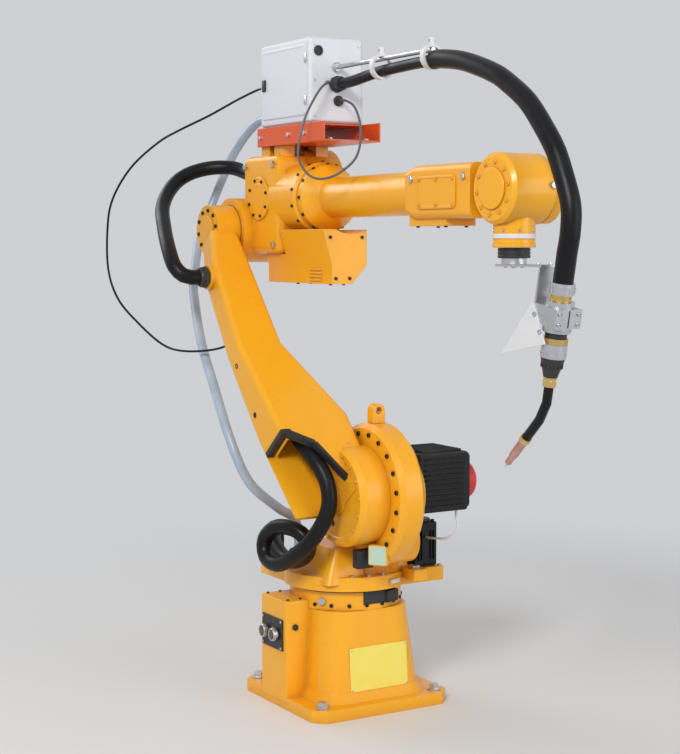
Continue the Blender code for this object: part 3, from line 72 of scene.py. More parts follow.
def ramp(owner, start, end, low=0.0, high=1.0):
    """A node that turns start to end into low to high."""
    made = node(owner, "ShaderNodeMapRange")
    for name, value in (("From Min", start), ("From Max", end), ("To Min", low), ("To Max", high)):
        made.inputs[name].default_value = value
    return made


def plain_material(name, colour, roughness, metallic=0.0):
    material = bpy.data.materials.new(name)
    material.use_nodes = True
    shader = material.node_tree.nodes["Principled BSDF"]
    shader.inputs["Base Color"].default_value = (*colour, 1.0)
    shader.inputs["Roughness"].default_value = roughness
    shader.inputs["Metallic"].default_value = metallic
    return material, shader


def vary(material, shader, colour, other, scale, rough_low, rough_high):
    """Break a surface's colour and roughness up with soft noise in the object's own space."""
    place = node(material, "ShaderNodeTexCoord")
    noise = node(material, "ShaderNodeTexNoise", Scale=scale, Detail=3.0)
    mix = node(material, "ShaderNodeMix", data_type="RGBA", A=(*colour, 1.0), B=(*other, 1.0))
    rough = ramp(material, 0.3, 0.7, rough_low, rough_high)
    wire_up(material, (place.outputs["Object"], noise.inputs["Vector"]),
            (noise.outputs["Fac"], mix.inputs["Factor"]),
            (mix.outputs["Result"], shader.inputs["Base Color"]),
            (noise.outputs["Fac"], rough.inputs["Value"]),
            (rough.outputs["Result"], shader.inputs["Roughness"]))
    return place, mix


def grain(material, shader, place, scale, depth, detail=2.0, strength=0.5):
    """A fine relief of the given scale, with its depth in metres."""
    noise = node(material, "ShaderNodeTexNoise", Scale=scale, Detail=detail)
    relief = node(material, "ShaderNodeBump", Strength=strength, Distance=depth)
    wire_up(material, (place.outputs["Object"], noise.inputs["Vector"]),
            (noise.outputs["Fac"], relief.inputs["Height"]),
            (relief.outputs["Normal"], shader.inputs["Normal"]))
    return relief


def finish(name, slot, base, tones, scale, rough, relief, specular=None):
    """A material and the slot that it fills, as the look that a piece is given."""
    material, shader = plain_material(name, *base)
    place, _ = vary(material, shader, *tones, scale, *rough)
    grain(material, shader, place, *relief)
    if specular is not None:
        shader.inputs["Specular IOR Level"].default_value = specular
    return material, slot


def plate_finish(name, slot, colour, other):
    return finish(name, slot, (colour, 0.4), (colour, other), 22.0, (0.34, 0.5),
                  (600.0, 0.0001, 2.0, 0.25))


# Camera. The robot is seen from its front right, from about the height of its elbow and 4 m away,
# looking a little down, and the frame is closed in on it.
HEADING, PITCH = radians(149.2), radians(-4.77)
bpy.ops.object.camera_add(location=(3.429, -2.06, 1.15))
camera = bpy.context.object
camera.name = "camera"
sight = Vector((cos(HEADING), sin(HEADING), tan(PITCH)))
camera.rotation_euler = sight.to_track_quat("-Z", "Y").to_euler()
camera.data.sensor_width = 36.0
camera.data.lens = 76.1
camera.data.clip_end = 60.0
scene.camera = camera

# Room. A plain pale floor that fades into a pale surround, under soft light: a key panel above on
# the camera's left, a weaker and larger one low on its right and a third behind.
FLOOR_WIDTH, FADE_START, FADE_END = 40.0, 0.9, 3.0
AIM = Vector((0.1, 0.0, 0.9))
bpy.ops.mesh.primitive_plane_add(size=FLOOR_WIDTH, location=(0.0, 0.0, 0.0))
floor = bpy.context.object
floor.name = "floor"
floor_paint, floor_surface = plain_material("floor_paint", (0.8, 0.8, 0.8), 0.65)
floor_place = node(floor_paint, "ShaderNodeTexCoord")
distance = node(floor_paint, "ShaderNodeVectorMath", operation="LENGTH")
fade = ramp(floor_paint, FADE_START, FADE_END)
fade.interpolation_type = "SMOOTHSTEP"
clear = node(floor_paint, "ShaderNodeBsdfTransparent")
mixed = node(floor_paint, "ShaderNodeMixShader")
floor_end = floor_paint.node_tree.nodes["Material Output"]
wire_up(floor_paint, (floor_place.outputs["Object"], distance.inputs[0]),
        (distance.outputs["Value"], fade.inputs["Value"]),
        (fade.outputs["Result"], mixed.inputs["Fac"]),
        (floor_surface.outputs["BSDF"], mixed.inputs[1]),
        (clear.outputs["BSDF"], mixed.inputs[2]),
        (mixed.outputs["Shader"], floor_end.inputs["Surface"]))
floor.data.materials.append(floor_paint)

for name, place, size, power in (
        ("key", (3.4, -3.4, 3.6), 1.3, 155.0),
        ("fill", (3.6, 1.6, 1.6), 2.4, 30.0),
        ("rim", (-3.4, -1.2, 3.2), 2.0, 40.0)):
    bpy.ops.object.light_add(type="AREA", location=place)
    lamp = bpy.context.object
    lamp.name = name
    lamp.data.size = size
    lamp.data.energy = power
    lamp.rotation_euler = (AIM - Vector(place)).to_track_quat("-Z", "Y").to_euler()

world = bpy.data.worlds.new("surround")
scene.world = world
world.use_nodes = True
sky = world.node_tree.nodes["Background"]
sky.inputs["Color"].default_value = (1.0, 1.0, 1.0, 1.0)
sky.inputs["Strength"].default_value = 0.4
backdrop = node(world, "ShaderNodeBackground", Color=(0.62, 0.63, 0.65, 1.0), Strength=1.0)
path = node(world, "ShaderNodeLightPath")
choice = node(world, "ShaderNodeMixShader")
seen = node(world, "ShaderNodeMath", operation="MAXIMUM")
through = node(world, "ShaderNodeMath", operation="MAXIMUM")
wire_up(world, (path.outputs["Is Camera Ray"], seen.inputs[0]),
        (path.outputs["Is Glossy Ray"], seen.inputs[1]),
        (seen.outputs["Value"], through.inputs[0]),
        (path.outputs["Is Transmission Ray"], through.inputs[1]),
        (through.outputs["Value"], choice.inputs["Fac"]),
        (sky.outputs["Background"], choice.inputs[1]),
        (backdrop.outputs["Background"], choice.inputs[2]),
        (choice.outputs["Shader"], world.node_tree.nodes["World Output"].inputs["Surface"]))
scene.view_settings.view_transform = "Standard"


# Torch cable. A thick smooth black rubber cable that carries gas, current and the wire liner in one
# jacket. It leaves the feeder's conduit, arches over the forearm and comes down into the torch.
def deselect():
    bpy.ops.object.select_all(action="DESELECT")


def wear(piece, look):
    """Give a piece the material of a look."""
    piece.data.materials.clear()
    piece.data.materials.append(look[0])


def smooth_path(points, step):
    """Points about a step apart on a smooth curve through the given ones."""
    ends = [2 * points[0] - points[1]] + points + [2 * points[-1] - points[-2]]
    route = []
    for before, start, end, after in zip(ends, ends[1:], ends[2:], ends[3:]):
        count = max(1, round((end - start).length / step))
        for index in range(count):
            share = index / count
            route.append(0.5 * (2 * start + (end - before) * share
                                + (2 * before - 5 * start + 4 * end - after) * share ** 2
                                + (3 * start - before - 3 * end + after) * share ** 3))
    route.append(points[-1])
    return route


def cable(name, points, diameter, look, sides, step=0.014):
    """A cable swept along a smooth path, made a mesh, with the path that it follows."""
    deselect()
    route = smooth_path(points, step)
    bpy.ops.curve.primitive_nurbs_path_add(location=(0.0, 0.0, 0.0))
    curve = bpy.context.object.data
    curve.splines.remove(curve.splines[0])
    line = curve.splines.new("POLY")
    line.points.add(len(route) - 1)
    for point, place in zip(line.points, route):
        point.co = (*place, 1.0)
    curve.bevel_depth = diameter / 2
    curve.bevel_resolution = sides
    curve.use_fill_caps = True
    bpy.ops.object.convert(target="MESH")
    piece = bpy.context.object
    piece.name = name
    bpy.ops.object.shade_smooth_by_angle(angle=radians(50))
    wear(piece, look)
    return piece, [tuple(place) for place in route]


def lay_cord(stands_for):
    """Hide the part that the cord stands for."""
    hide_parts(stands_for)


def metres(points):
    return [Vector(point) * MM for point in points]


def stretches(points, joins):
    """The route cut at the listed points, each cut square to the cable."""
    found, start, last = [], [points[0]], 0
    for join in joins:
        along = (points[join + 1] - points[join - 1]).normalized()
        found.append(start + points[last + 1:join] + [points[join] - along * STUB, points[join]])
        start = [points[join], points[join] + along * STUB]
        last = join
    found.append(start + points[last + 1:])
    return found


STUB = 0.012
TORCH_CABLE_DIAMETER, CONDUIT_DIAMETER, HOSE_DIAMETER = 0.043, 0.027, 0.039
SHEATH_DIAMETER, LEAD_DIAMETER = 0.025, 0.006
TORCH_CABLE = metres([
    (391, 0, 1566), (420, 0, 1566), (500, 0, 1554), (580, 0, 1531), (650, 0, 1503), (740, 0, 1446),
    (806, 0, 1377), (842, 0, 1327), (883, 0, 1235), (885, 0, 1180), (874.5, 0, 1130.9),
    (868.7, 0, 1101.4), (862.9, 0, 1072.1)])
RUBBER = finish("cable_jacket", "rubber_black", ((0.006, 0.006, 0.007), 0.34),
                ((0.004, 0.004, 0.005), (0.01, 0.01, 0.011)), 14.0, (0.26, 0.42),
                (420.0, 0.0004), 0.22)
for name, points, bodies, start, end in zip(
        ("torch_cable_rear", "torch_cable_middle", "torch_cable_front"),
        stretches(TORCH_CABLE, (4, 7)),
        (("elbow", "forearm"), ("forearm", "wrist"), ("wrist", "tool")),
        ((0.42, 0.0, 1.566), (0.68, 0.0, 1.48), (0.86, 0.0, 1.28)),
        ((0.64, 0.0, 1.5), (0.845, 0.0, 1.32), (0.872, 0.0, 1.115))):
    piece, route = cable(name + "_jacket", points, TORCH_CABLE_DIAMETER, RUBBER, 10)
    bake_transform(piece)
    lay_cord(name)

# Feeder conduit. The thinner black conduit from the feeder's front to the torch cable, held by the
# two white rings under the support rod.
CONDUIT = metres([
    (-14.6, 0, 1548.3), (30, 0, 1549), (100, 0, 1556), (173.8, 0, 1561.8), (280, 0, 1565.2),
    (350, 0, 1566), (390.7, 0, 1566)])
piece, route = cable("feeder_conduit", CONDUIT, CONDUIT_DIAMETER, RUBBER, 8)
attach(piece, "elbow")
lay_cord("front_conduit")

# Dress hoses. Smooth black plastic hoses with the motor and signal cables inside: one loops
# from the elbow to the lower arm, and one coils from inside the lower arm's foot to the turret.
ELBOW_HOSE = metres([
    (-416.9, -30, 1336.7), (-440, -30, 1336.7), (-480, -32, 1346), (-525.5, -50, 1359),
    (-562, -100, 1358.3), (-576, -160, 1340.2), (-569.8, -210, 1305.6), (-522.6, -260, 1251),
    (-437.2, -295, 1190.4), (-356, -320, 1135), (-308, -326, 1092), (-290, -310, 1070),
    (-286.8, -290, 1064.6), (-286.8, -270.7, 1064.6)])
SHOULDER_HOSE = metres([
    (-0.8, -178, 756.7), (41.4, -178, 713.8), (85, -177, 672.2), (126.7, -172, 642.1),
    (160, -163, 612), (180, -157, 575), (188, -158, 530), (178, -170, 485), (148, -190, 435),
    (92, -205, 392), (30, -215, 366), (-20, -218, 378), (-30, -215, 420), (15, -205, 455),
    (75, -185, 455), (100, -165, 425), (70, -160, 385), (0, -168, 366), (-80, -162, 395),
    (-130, -135, 425), (-154, -115, 405), (-154, -115, 360.2)])
HOSE = finish("hose_plastic", "rubber_black", ((0.005, 0.005, 0.006), 0.36),
              ((0.004, 0.004, 0.005), (0.009, 0.009, 0.01)), 18.0, (0.28, 0.44),
              (300.0, 0.0003), 0.22)
for name, points, bodies, start, end in (
        ("elbow_hose", ELBOW_HOSE, ("lower_arm", "elbow"), (-0.34, -0.32, 1.12),
         (-0.54, -0.06, 1.35)),
        ("shoulder_hose", SHOULDER_HOSE, ("turret", "lower_arm"), (0.15, -0.16, 0.46),
         (0.15, -0.16, 0.63))):
    piece, route = cable(name + "_jacket", points, HOSE_DIAMETER, HOSE, 8)
    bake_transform(piece)
    lay_cord(name)

# Wire sheath and leads. A pale blue plastic sheath that brings the welding wire up behind the arm,
# a thin black lead that hangs in a wide loop beside it, and short leads at the feeder and motor.
SHEATH_ROUTE = metres([
    (-308.6, 20, 1480), (-350, 20, 1480), (-430, 20, 1488), (-517, 20, 1480), (-603, 0, 1409),
    (-660, -30, 1296), (-648, -90, 1169), (-545, -160, 1029), (-399, -210, 898), (-257, -240, 780),
    (-160, -245, 657), (-125, -210, 550), (-140, -120, 475), (-153, -64, 440), (-154, -50, 390),
    (-154, -50, 360.2)])
FEEDER_LEAD = metres([
    (-308.7, -50, 1560), (-330, -50, 1560), (-370, -52, 1558), (-420, -85, 1535),
    (-442, -160, 1491), (-462, -240, 1450), (-487.3, -290, 1417), (-527.7, -350, 1351.8),
    (-581.8, -380, 1269.9), (-608, -385, 1190), (-605.2, -385, 1081.1), (-565.7, -375, 1003.9),
    (-512.1, -345, 944.2), (-450.1, -300, 885.3), (-370, -275, 870), (-295, -225, 876),
    (-238.6, -200, 895.1), (-216.1, -200, 914.5)])
FEEDER_LOOP = metres([
    (-44.8, -30, 1552), (-30, -30, 1552), (-5, -70, 1530), (0, -110, 1470), (2, -130, 1412.7),
    (10, -140, 1360.4), (55, -140, 1319.1), (105.2, -130, 1305.4), (139.5, -100, 1319.5),
    (135, -50, 1360), (105.8, -20, 1425.4), (44.2, 0, 1485), (-15, 5, 1507.3), (-34.6, 5, 1507.3)])
MOTOR_LEAD = metres([
    (195, 205, 490.6), (195, 205, 474), (206, 202, 444), (185, 185, 418), (138, 170, 412),
    (114.4, 170, 412)])
SHEATH = finish("wire_sheath", "sheath_plastic", ((0.38, 0.49, 0.63), 0.3),
                ((0.27, 0.38, 0.53), (0.56, 0.65, 0.75)), 16.0, (0.24, 0.38), (260.0, 0.0002))
for name, points, bodies, start, end in zip(
        ("sheath_upper", "sheath_lower"), stretches(SHEATH_ROUTE, (7,)),
        (("lower_arm", "elbow"), ("turret", "lower_arm")),
        ((-0.58, -0.14, 1.07), (-0.15, -0.05, 0.42)),
        ((-0.4, 0.02, 1.48), (-0.5, -0.18, 0.99))):
    piece, route = cable(name + "_plastic", points, SHEATH_DIAMETER, SHEATH, 6)
    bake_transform(piece)
    lay_cord(name)

piece, route = cable("feeder_lead_jacket", FEEDER_LEAD, LEAD_DIAMETER, RUBBER, 3)
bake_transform(piece)
lay_cord("feeder_lead")
for name, points, body, paint, slot, colour, gloss in (
        ("feeder_loop", FEEDER_LOOP, "elbow", "grey_lead", "lead_grey", (0.12, 0.125, 0.13), 0.42),
        ("motor_lead", MOTOR_LEAD, "turret", "white_lead", "white_plate", (0.78, 0.79, 0.8), 0.4)):
    look = finish(paint, slot, (colour, gloss), (colour, [0.85 * part for part in colour]), 22.0,
                  (0.34, 0.48), (500.0, 0.0002))
    piece, route = cable(name + "_jacket", points, LEAD_DIAMETER, look, 3, 0.008)
    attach(piece, body)
    lay_cord(name)

# Round faces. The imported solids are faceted, so facets that meet at under 26 degrees share their
# normals and are shaded as one smooth face. No vertex moves.
SMOOTH_UNDER = cos(radians(26))


def shade_round(mesh):
    corners = {}
    turns = [(face, tuple(round(part, 5) for part in mesh.vertices[vertex].co))
             for face in mesh.polygons for vertex in face.vertices]
    for face, spot in turns:
        corners.setdefault(spot, []).append((face.normal.copy(), face.area))
    normals = []
    for face, spot in turns:
        total = Vector()
        for normal, area in corners[spot]:
            if normal.dot(face.normal) > SMOOTH_UNDER:
                total += normal * area
        normals.append((total or face.normal).normalized())
    mesh.shade_smooth()
    mesh.normals_split_custom_set(normals)


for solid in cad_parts.values():
    shade_round(solid.data)


# Castings. The base, turret, lower arm, elbow, forearm and wrist are machined iron and aluminium
# castings under one satin orange two-part paint. It shows the cast skin under it, is painted darker
# in its corners and crevices as painted shade, and is rubbed lighter along the edges.
def dress(look, *names):
    for name in names:
        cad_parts[name].material_slots[0].material = look[0]


def casting_finish(name, slot, colour, dark, light):
    material, shader = plain_material(name, colour, 0.28)
    place, mix = vary(material, shader, colour, dark, 5.0, 0.21, 0.35)
    mix.inputs["Factor"].default_value = 0.5
    # Painted shade: ambient occlusion darkens the colour towards a deep brown in corners and
    # crevices, where shade falls.
    corner = node(material, "ShaderNodeAmbientOcclusion", Distance=0.035, samples=6)
    shade_amount = ramp(material, 0.25, 0.95, 0.55, 0.0)
    painted_shade = node(material, "ShaderNodeMix", data_type="RGBA",
                B=(dark[0] * 0.45, dark[1] * 0.38, dark[2] * 0.5, 1.0))
    rounded = node(material, "ShaderNodeBevel", Radius=0.0022, samples=4)
    flat = node(material, "ShaderNodeNewGeometry")
    match = node(material, "ShaderNodeVectorMath", operation="DOT_PRODUCT")
    edge = ramp(material, 0.97, 0.8)
    rub = node(material, "ShaderNodeTexNoise", Scale=55.0, Detail=4.0)
    worn = node(material, "ShaderNodeMath", operation="MULTIPLY")
    bare = node(material, "ShaderNodeMix", data_type="RGBA", B=(*light, 1.0))
    skin = grain(material, shader, place, 260.0, 0.0006, 3.0, 0.35)
    wire_up(material, (corner.outputs["AO"], shade_amount.inputs["Value"]),
            (mix.outputs["Result"], painted_shade.inputs["A"]),
            (shade_amount.outputs["Result"], painted_shade.inputs["Factor"]),
            (rounded.outputs["Normal"], match.inputs[0]),
            (flat.outputs["Normal"], match.inputs[1]),
            (match.outputs["Value"], edge.inputs["Value"]),
            (place.outputs["Object"], rub.inputs["Vector"]),
            (edge.outputs["Result"], worn.inputs[0]),
            (rub.outputs["Fac"], worn.inputs[1]),
            (painted_shade.outputs["Result"], bare.inputs["A"]),
            (worn.outputs["Value"], bare.inputs["Factor"]),
            (bare.outputs["Result"], shader.inputs["Base Color"]),
            (rounded.outputs["Normal"], skin.inputs["Normal"]))
    return material, slot


ORANGE = casting_finish("casting_orange", "casting_paint", (1.0, 0.49, 0.018),
                        (0.96, 0.41, 0.011), (1.0, 0.64, 0.16))
dress(ORANGE, "base_casting", "slewing_ring", "turret_casting", "lifting_lug",
      "lower_arm_casting", "elbow_casting", "motor_cover", "forearm_tube", "wrist_block",
      "wrist_housing")


# Anchor bolts. Zinc-plated hexagon bolts on thick washers clamp the base plate to the floor at
# its four corners.
def turned(name, profile, sides=40):
    """A disc drawn up through (radius, height) pairs in millimetres, on the world's Z."""
    deselect()
    profile = [(radius * MM, height * MM) for radius, height in profile]
    radius, height = profile[0]
    bpy.ops.mesh.primitive_circle_add(vertices=sides, radius=radius, fill_type="NGON",
                                      location=(0.0, 0.0, height))
    piece = bpy.context.object
    piece.name = name
    bpy.ops.object.transform_apply(location=True, rotation=True, scale=True)
    bpy.ops.object.mode_set(mode="EDIT")
    bpy.ops.mesh.select_mode(type="FACE")
    bpy.ops.mesh.select_all(action="SELECT")
    for next_radius, next_height in profile[1:]:
        bpy.ops.mesh.extrude_region_move(
            TRANSFORM_OT_translate={"value": (0.0, 0.0, next_height - height)})
        share = next_radius / radius
        bpy.ops.transform.resize(value=(share, share, 1.0), center_override=(0.0, 0.0, next_height))
        radius, height = next_radius, next_height
    bpy.ops.mesh.select_all(action="SELECT")
    bpy.ops.mesh.normals_make_consistent(inside=False)
    bpy.ops.object.mode_set(mode="OBJECT")
    return piece


def facing(point, direction, spin=0.0):
    """A placement at a point with its own Z along the direction."""
    return (Matrix.Translation(point)
            @ Vector(direction).to_track_quat("Z", "Y").to_matrix().to_4x4()
            @ Matrix.Rotation(spin, 4, "Z"))


def moved(x, y, z):
    return Matrix.Translation((x, y, z))


def fit(piece, look, body, place=None, sharp=35.0):
    """Settle a finished shape in its place, give it its look and let it ride on its body."""
    deselect()
    if place is not None:
        piece.matrix_world = place
    piece.select_set(True)
    bpy.context.view_layer.objects.active = piece
    bpy.ops.object.transform_apply(location=True, rotation=True, scale=True)
    bpy.ops.object.shade_smooth_by_angle(angle=radians(sharp))
    wear(piece, look)
    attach(piece, body)
    return piece


def set_out(model, *rows, sharp=35.0):
    """For each row of name, placements, look and body, join a copy of the model at each placement
    into one piece. The model itself goes at the end."""
    for name, places, look, body in rows:
        deselect()
        copies = []
        for place in places:
            copy = model.copy()
            copy.data = model.data.copy()
            scene.collection.objects.link(copy)
            copy.matrix_world = place
            copy.select_set(True)
            copies.append(copy)
        bpy.context.view_layer.objects.active = copies[0]
        if len(copies) > 1:
            bpy.ops.object.join()
        copies[0].name = name
        fit(copies[0], look, body, sharp=sharp)
    bpy.data.objects.remove(model)


def bolts(radius, height, *rows):
    """Hexagon heads with a washer face under them and a turned crown, in millimetres."""
    set_out(turned("bolt", [(radius * 1.02, 0), (radius * 1.02, height * 0.12),
                            (radius, height * 0.14), (radius, height * 0.86),
                            (radius * 0.86, height), (radius * 0.3, height)], 6),
            *rows, sharp=HEX_SHARP)


def screws(radius, height, *rows):
    """Cap screws' heads, with their rims broken and their sockets sunk, in millimetres."""
    set_out(turned("screw", [(radius, 0), (radius, height * 0.82), (radius * 0.9, height),
                             (radius * 0.52, height), (radius * 0.5, height * 0.42)], 16), *rows)


def angles(count, shift=0.0):
    return [2 * pi * (index + shift) / count for index in range(count)]


def circle_of(centre, along, radius, count, start=0.0):
    """Placements round a circle, all facing along its axis."""
    base = facing(centre, along)
    return [base @ moved(radius * cos(start + angle), radius * sin(start + angle), 0.0)
            for angle in angles(count)]


def out_from(centre, radius, angle, spin=0.0, lying=False):
    """A placement on a cylinder's wall, facing out. The cylinder stands, or lies along X."""
    way = Vector((0, cos(angle), sin(angle)) if lying else (cos(angle), sin(angle), 0))
    return facing(Vector(centre) + radius * way, way, spin)


HEX_SHARP = 20.0
STEEL = finish("zinc_steel", "steel", ((0.62, 0.63, 0.65), 0.3, 1.0),
               ((0.66, 0.67, 0.69), (0.5, 0.51, 0.54)), 90.0, (0.22, 0.45),
               (900.0, 0.0002, 2.0, 0.3))
ANCHORS = [(sx * 0.1625, sy * 0.1625, 0.03) for sx in SIDES for sy in SIDES]
set_out(turned("washer", [(16.5, 0), (17, 0.6), (17, 3.4), (16.4, 4), (9.8, 4), (9.4, 3.4)], 32),
        ("anchor_washers", [facing(point, UP) for point in ANCHORS], STEEL, "base"))
bolts(13.5, 11.5,
      ("anchor_bolts", [facing((x, y, z + 0.0041), UP, 0.4 + 0.9 * index)
                        for index, (x, y, z) in enumerate(ANCHORS)], STEEL, "base"))

# Slewing ring screws. Black cap screws sit low round the slewing ring, where it is bolted to the
# top of the pedestal, and a thin black seal lies in the gap under the turret.
BLACK_STEEL = finish("blackened_steel", "plastic_black", ((0.03, 0.03, 0.032), 0.38, 0.6),
                     ((0.035, 0.035, 0.037), (0.018, 0.018, 0.02)), 120.0, (0.3, 0.5),
                     (700.0, 0.0002, 2.0, 0.3))
SEAL = finish("seal_rubber", "rubber_black", ((0.02, 0.02, 0.02), 0.55),
              ((0.022, 0.022, 0.022), (0.012, 0.012, 0.012)), 60.0, (0.45, 0.65),
              (800.0, 0.0002))
BOX_START, BOX_END = 2 * pi - 1.95, 2 * pi - 1.2
screws(4.8, 3.2,
       ("slewing_ring_screws", [out_from((0, 0, 0.2625), 0.1412, angle)
                                for angle in angles(20, 0.5) if not BOX_START < angle < BOX_END],
        BLACK_STEEL, "base"))
fit(turned("ring_seal", [(140, 294.5), (141.8, 295), (142.2, 298.5), (140.4, 300.3),
                         (138.5, 300.3)], 96), SEAL, "base")


# Bare plates. A yellow aluminium plate is riveted to the front of the pedestal, and a small pale
# green one sits on the terminal box under the shoulder ring. Both are left blank.
def choose(piece, test, kind="FACE"):
    """In edit mode, select the faces or edges that pass a test on their place and normal."""
    bpy.ops.mesh.select_mode(type=kind)
    bpy.ops.mesh.select_all(action="DESELECT")
    shape = bmesh.from_edit_mesh(piece.data)
    for element in shape.faces if kind == "FACE" else shape.edges:
        if test(element):
            element.select_set(True)
    bmesh.update_edit_mesh(piece.data)


def block(name, size, corner=0, rim=0, corner_steps=4):
    """A cube drawn to a size in millimetres, its upright edges rounded and its top rim broken."""
    deselect()
    size = [part * MM for part in size]
    bpy.ops.mesh.primitive_cube_add(size=1.0, location=(0, 0, size[2] / 2), scale=size)
    piece = bpy.context.object
    piece.name = name
    bpy.ops.object.transform_apply(location=True, rotation=True, scale=True)
    bpy.ops.object.mode_set(mode="EDIT")
    if corner:
        choose(piece, lambda edge: abs(edge.verts[0].co.z - edge.verts[1].co.z) > size[2] / 2,
               "EDGE")
        bpy.ops.mesh.bevel(offset=corner * MM, segments=corner_steps)
    if rim:
        choose(piece, lambda face: face.normal.z > 0.99)
        bpy.ops.mesh.bevel(offset=rim * MM, segments=2)
    bpy.ops.object.mode_set(mode="OBJECT")
    return piece


def rimmed_plate(name, size, corner, border, sink):
    """A thin plate in millimetres with its field sunk a hair inside a plain border."""
    piece = block(name, size, corner, size[2] * 0.3)
    field = size[0] * size[1] * MM * MM / 2
    bpy.ops.object.mode_set(mode="EDIT")
    choose(piece, lambda face: face.normal.z > 0.99 and face.calc_area() > field)
    bpy.ops.mesh.inset(thickness=border * MM)
    bpy.ops.mesh.extrude_region_move(TRANSFORM_OT_translate={"value": (0, 0, -sink * MM)})
    bpy.ops.object.mode_set(mode="OBJECT")
    return piece


SLOPE = 0.0757
BOX_WAY = (0.62, -0.785, 0)
YELLOW = plate_finish("plate_yellow", "feeder_paint", (0.96, 0.84, 0.2), (0.94, 0.76, 0.09))
PALE_GREEN = plate_finish("plate_green", "feeder_paint", (0.55, 0.74, 0.58), (0.48, 0.66, 0.52))
front = Matrix(((0, 0, 1, 0), (1, 0, 0, 0), (0, 1, 0, 0), (0, 0, 0, 1)))
plate_place = moved(0.151, 0.006, 0.1075) @ Matrix.Rotation(-SLOPE, 4, "Y") @ front
fit(rimmed_plate("pedestal_plate", (166, 108, 1.4), 6, 3.5, 0.3), YELLOW, "base", plate_place)
set_out(turned("rivet", [(3, 0), (2.9, 0.6), (2.2, 1.3), (1, 1.7)], 16),
        ("pedestal_plate_rivets", [plate_place @ moved(x, y, 0.0011) for x in (-0.078, 0.078)
                                   for y in (-0.049, 0.049)], STEEL, "base"))
box_place = facing((0.218, -0.0335, 0.404), BOX_WAY)
fit(block("shoulder_terminal_box", (48, 50, 18), 5, 1.5), ORANGE, "turret", box_place)
fit(rimmed_plate("shoulder_plate", (43, 45, 0.8), 3, 2, 0.2), PALE_GREEN,
    "turret", box_place @ moved(0, 0, 0.0181))

# Rubber stops and painted shade. A black block on the turret's bearing ring under the arm's hub is
# painted shade for the dark gap there, and a black bumper beside the slewing ring's hard stop takes
# the turret's blow at the end of its travel.
fit(block("shoulder_shade_block", (26, 46, 44), 4, 3), SEAL, "turret",
    facing((0.177, -0.0353, 0.389), NEAR))
fit(block("stop_bumper", (44, 30, 12), 4, 2), SEAL, "base", out_from((0, 0, 0.279), 0.1405, 0.36))

# Connector panel. A black panel with two round multi-pole sockets is screwed to the box on the
# base's side. Each socket has a steel bayonet collar and a plain insert with its pins in it.
PANEL = finish("panel_black", "plastic_black", ((0.025, 0.025, 0.027), 0.45),
               ((0.028, 0.028, 0.03), (0.017, 0.017, 0.018)), 40.0, (0.38, 0.55),
               (900.0, 0.0003))
GLAND = (PANEL[0], "rubber_black")
BRASS = finish("turned_brass", "brass", ((0.78, 0.56, 0.22), 0.28, 1.0),
               ((0.8, 0.58, 0.24), (0.62, 0.42, 0.14)), 70.0, (0.2, 0.42), (1100.0, 0.0001))
dress(PANEL, "connector_panel", "rotation_stop", "shoulder_motor_plug")
BOX_X, SOCKET_FACE, SOCKET_Z = -0.02, -0.2173, 0.185
SOCKETS = [BOX_X - 0.025, BOX_X + 0.025]
set_out(turned("collar", [(16.2, -11), (16.8, -10.2), (16.8, -4), (15.8, -3.2), (15.8, 0), (15, 1),
                          (12.6, 1), (12.2, -3)], 36),
        ("socket_collars", [facing((x, SOCKET_FACE, SOCKET_Z), NEAR) for x in SOCKETS], STEEL,
         "base"))
pins = []
for x in SOCKETS:
    for radius, count in ((0.0035, 4), (0.0082, 9)):
        pins += circle_of((x, SOCKET_FACE - 0.0001, SOCKET_Z), NEAR, radius, count)
set_out(turned("pin", [(1.1, 0), (1.1, 2.4), (0.6, 3)], 10), ("socket_pins", pins, BRASS, "base"))
screws(3.4, 2.6,
       ("panel_screws", [facing((BOX_X + x, -0.2014, z), NEAR) for x in (-0.046, 0.046)
                         for z in (0.152, 0.218)], STEEL, "base"),
       ("connector_lid_screws", [facing((BOX_X + x, y, 0.2722), UP) for x in (-0.052, 0.052)
                                 for y in (-0.185, -0.15)], BLACK_STEEL, "base"))
fit(turned("vent_plug", [(8.5, 0), (8.5, 3.5), (7.4, 4.5), (4, 4.5), (3.6, 3)], 6),
    PANEL, "base", facing((0.0452, -0.172, 0.206), AHEAD), HEX_SHARP)

# Shoulder and slewing motors. Black-painted servo motors with cooling ribs along their housings,
# tie bolts at the corners of the end plate, and a red plastic cap on the shoulder motor's brake.
MOTOR = finish("motor_paint", "motor_black", ((0.007, 0.007, 0.008), 0.42),
               ((0.006, 0.006, 0.007), (0.012, 0.012, 0.013)), 30.0, (0.32, 0.52),
               (500.0, 0.0004), 0.3)
RED_CAP = finish("red_cap_plastic", "cap_red", ((0.72, 0.035, 0.03), 0.32),
                 ((0.76, 0.045, 0.035), (0.58, 0.025, 0.022)), 26.0, (0.26, 0.42),
                 (420.0, 0.0002))
dress(MOTOR, "shoulder_motor", "slewing_motor")
dress(RED_CAP, "shoulder_motor_cap")
SHOULDER_X, SHOULDER_Z = 0.146, 0.54
MOTOR_MIDDLE_Y, MOTOR_MIDDLE_Z, MOTOR_HALF, MOTOR_FAR = 0.1523, 0.565, 0.0741, 0.2243
MOTOR_RIBS = [-0.0585 + 0.013 * index for index in range(10)]
SLEW_X, SLEW_Y, SLEW_HALF = 0.08, 0.17, 0.0341
SLEW_RIBS = [-0.0225 + 0.009 * index for index in range(6)]
RIB_Z, SLEW_TOP = 0.389, 0.4481


def ribs(name, size, places):
    set_out(block("rib", size, size[1] * 0.3, size[2] * 0.25, 2), (name, places, MOTOR, "turret"))


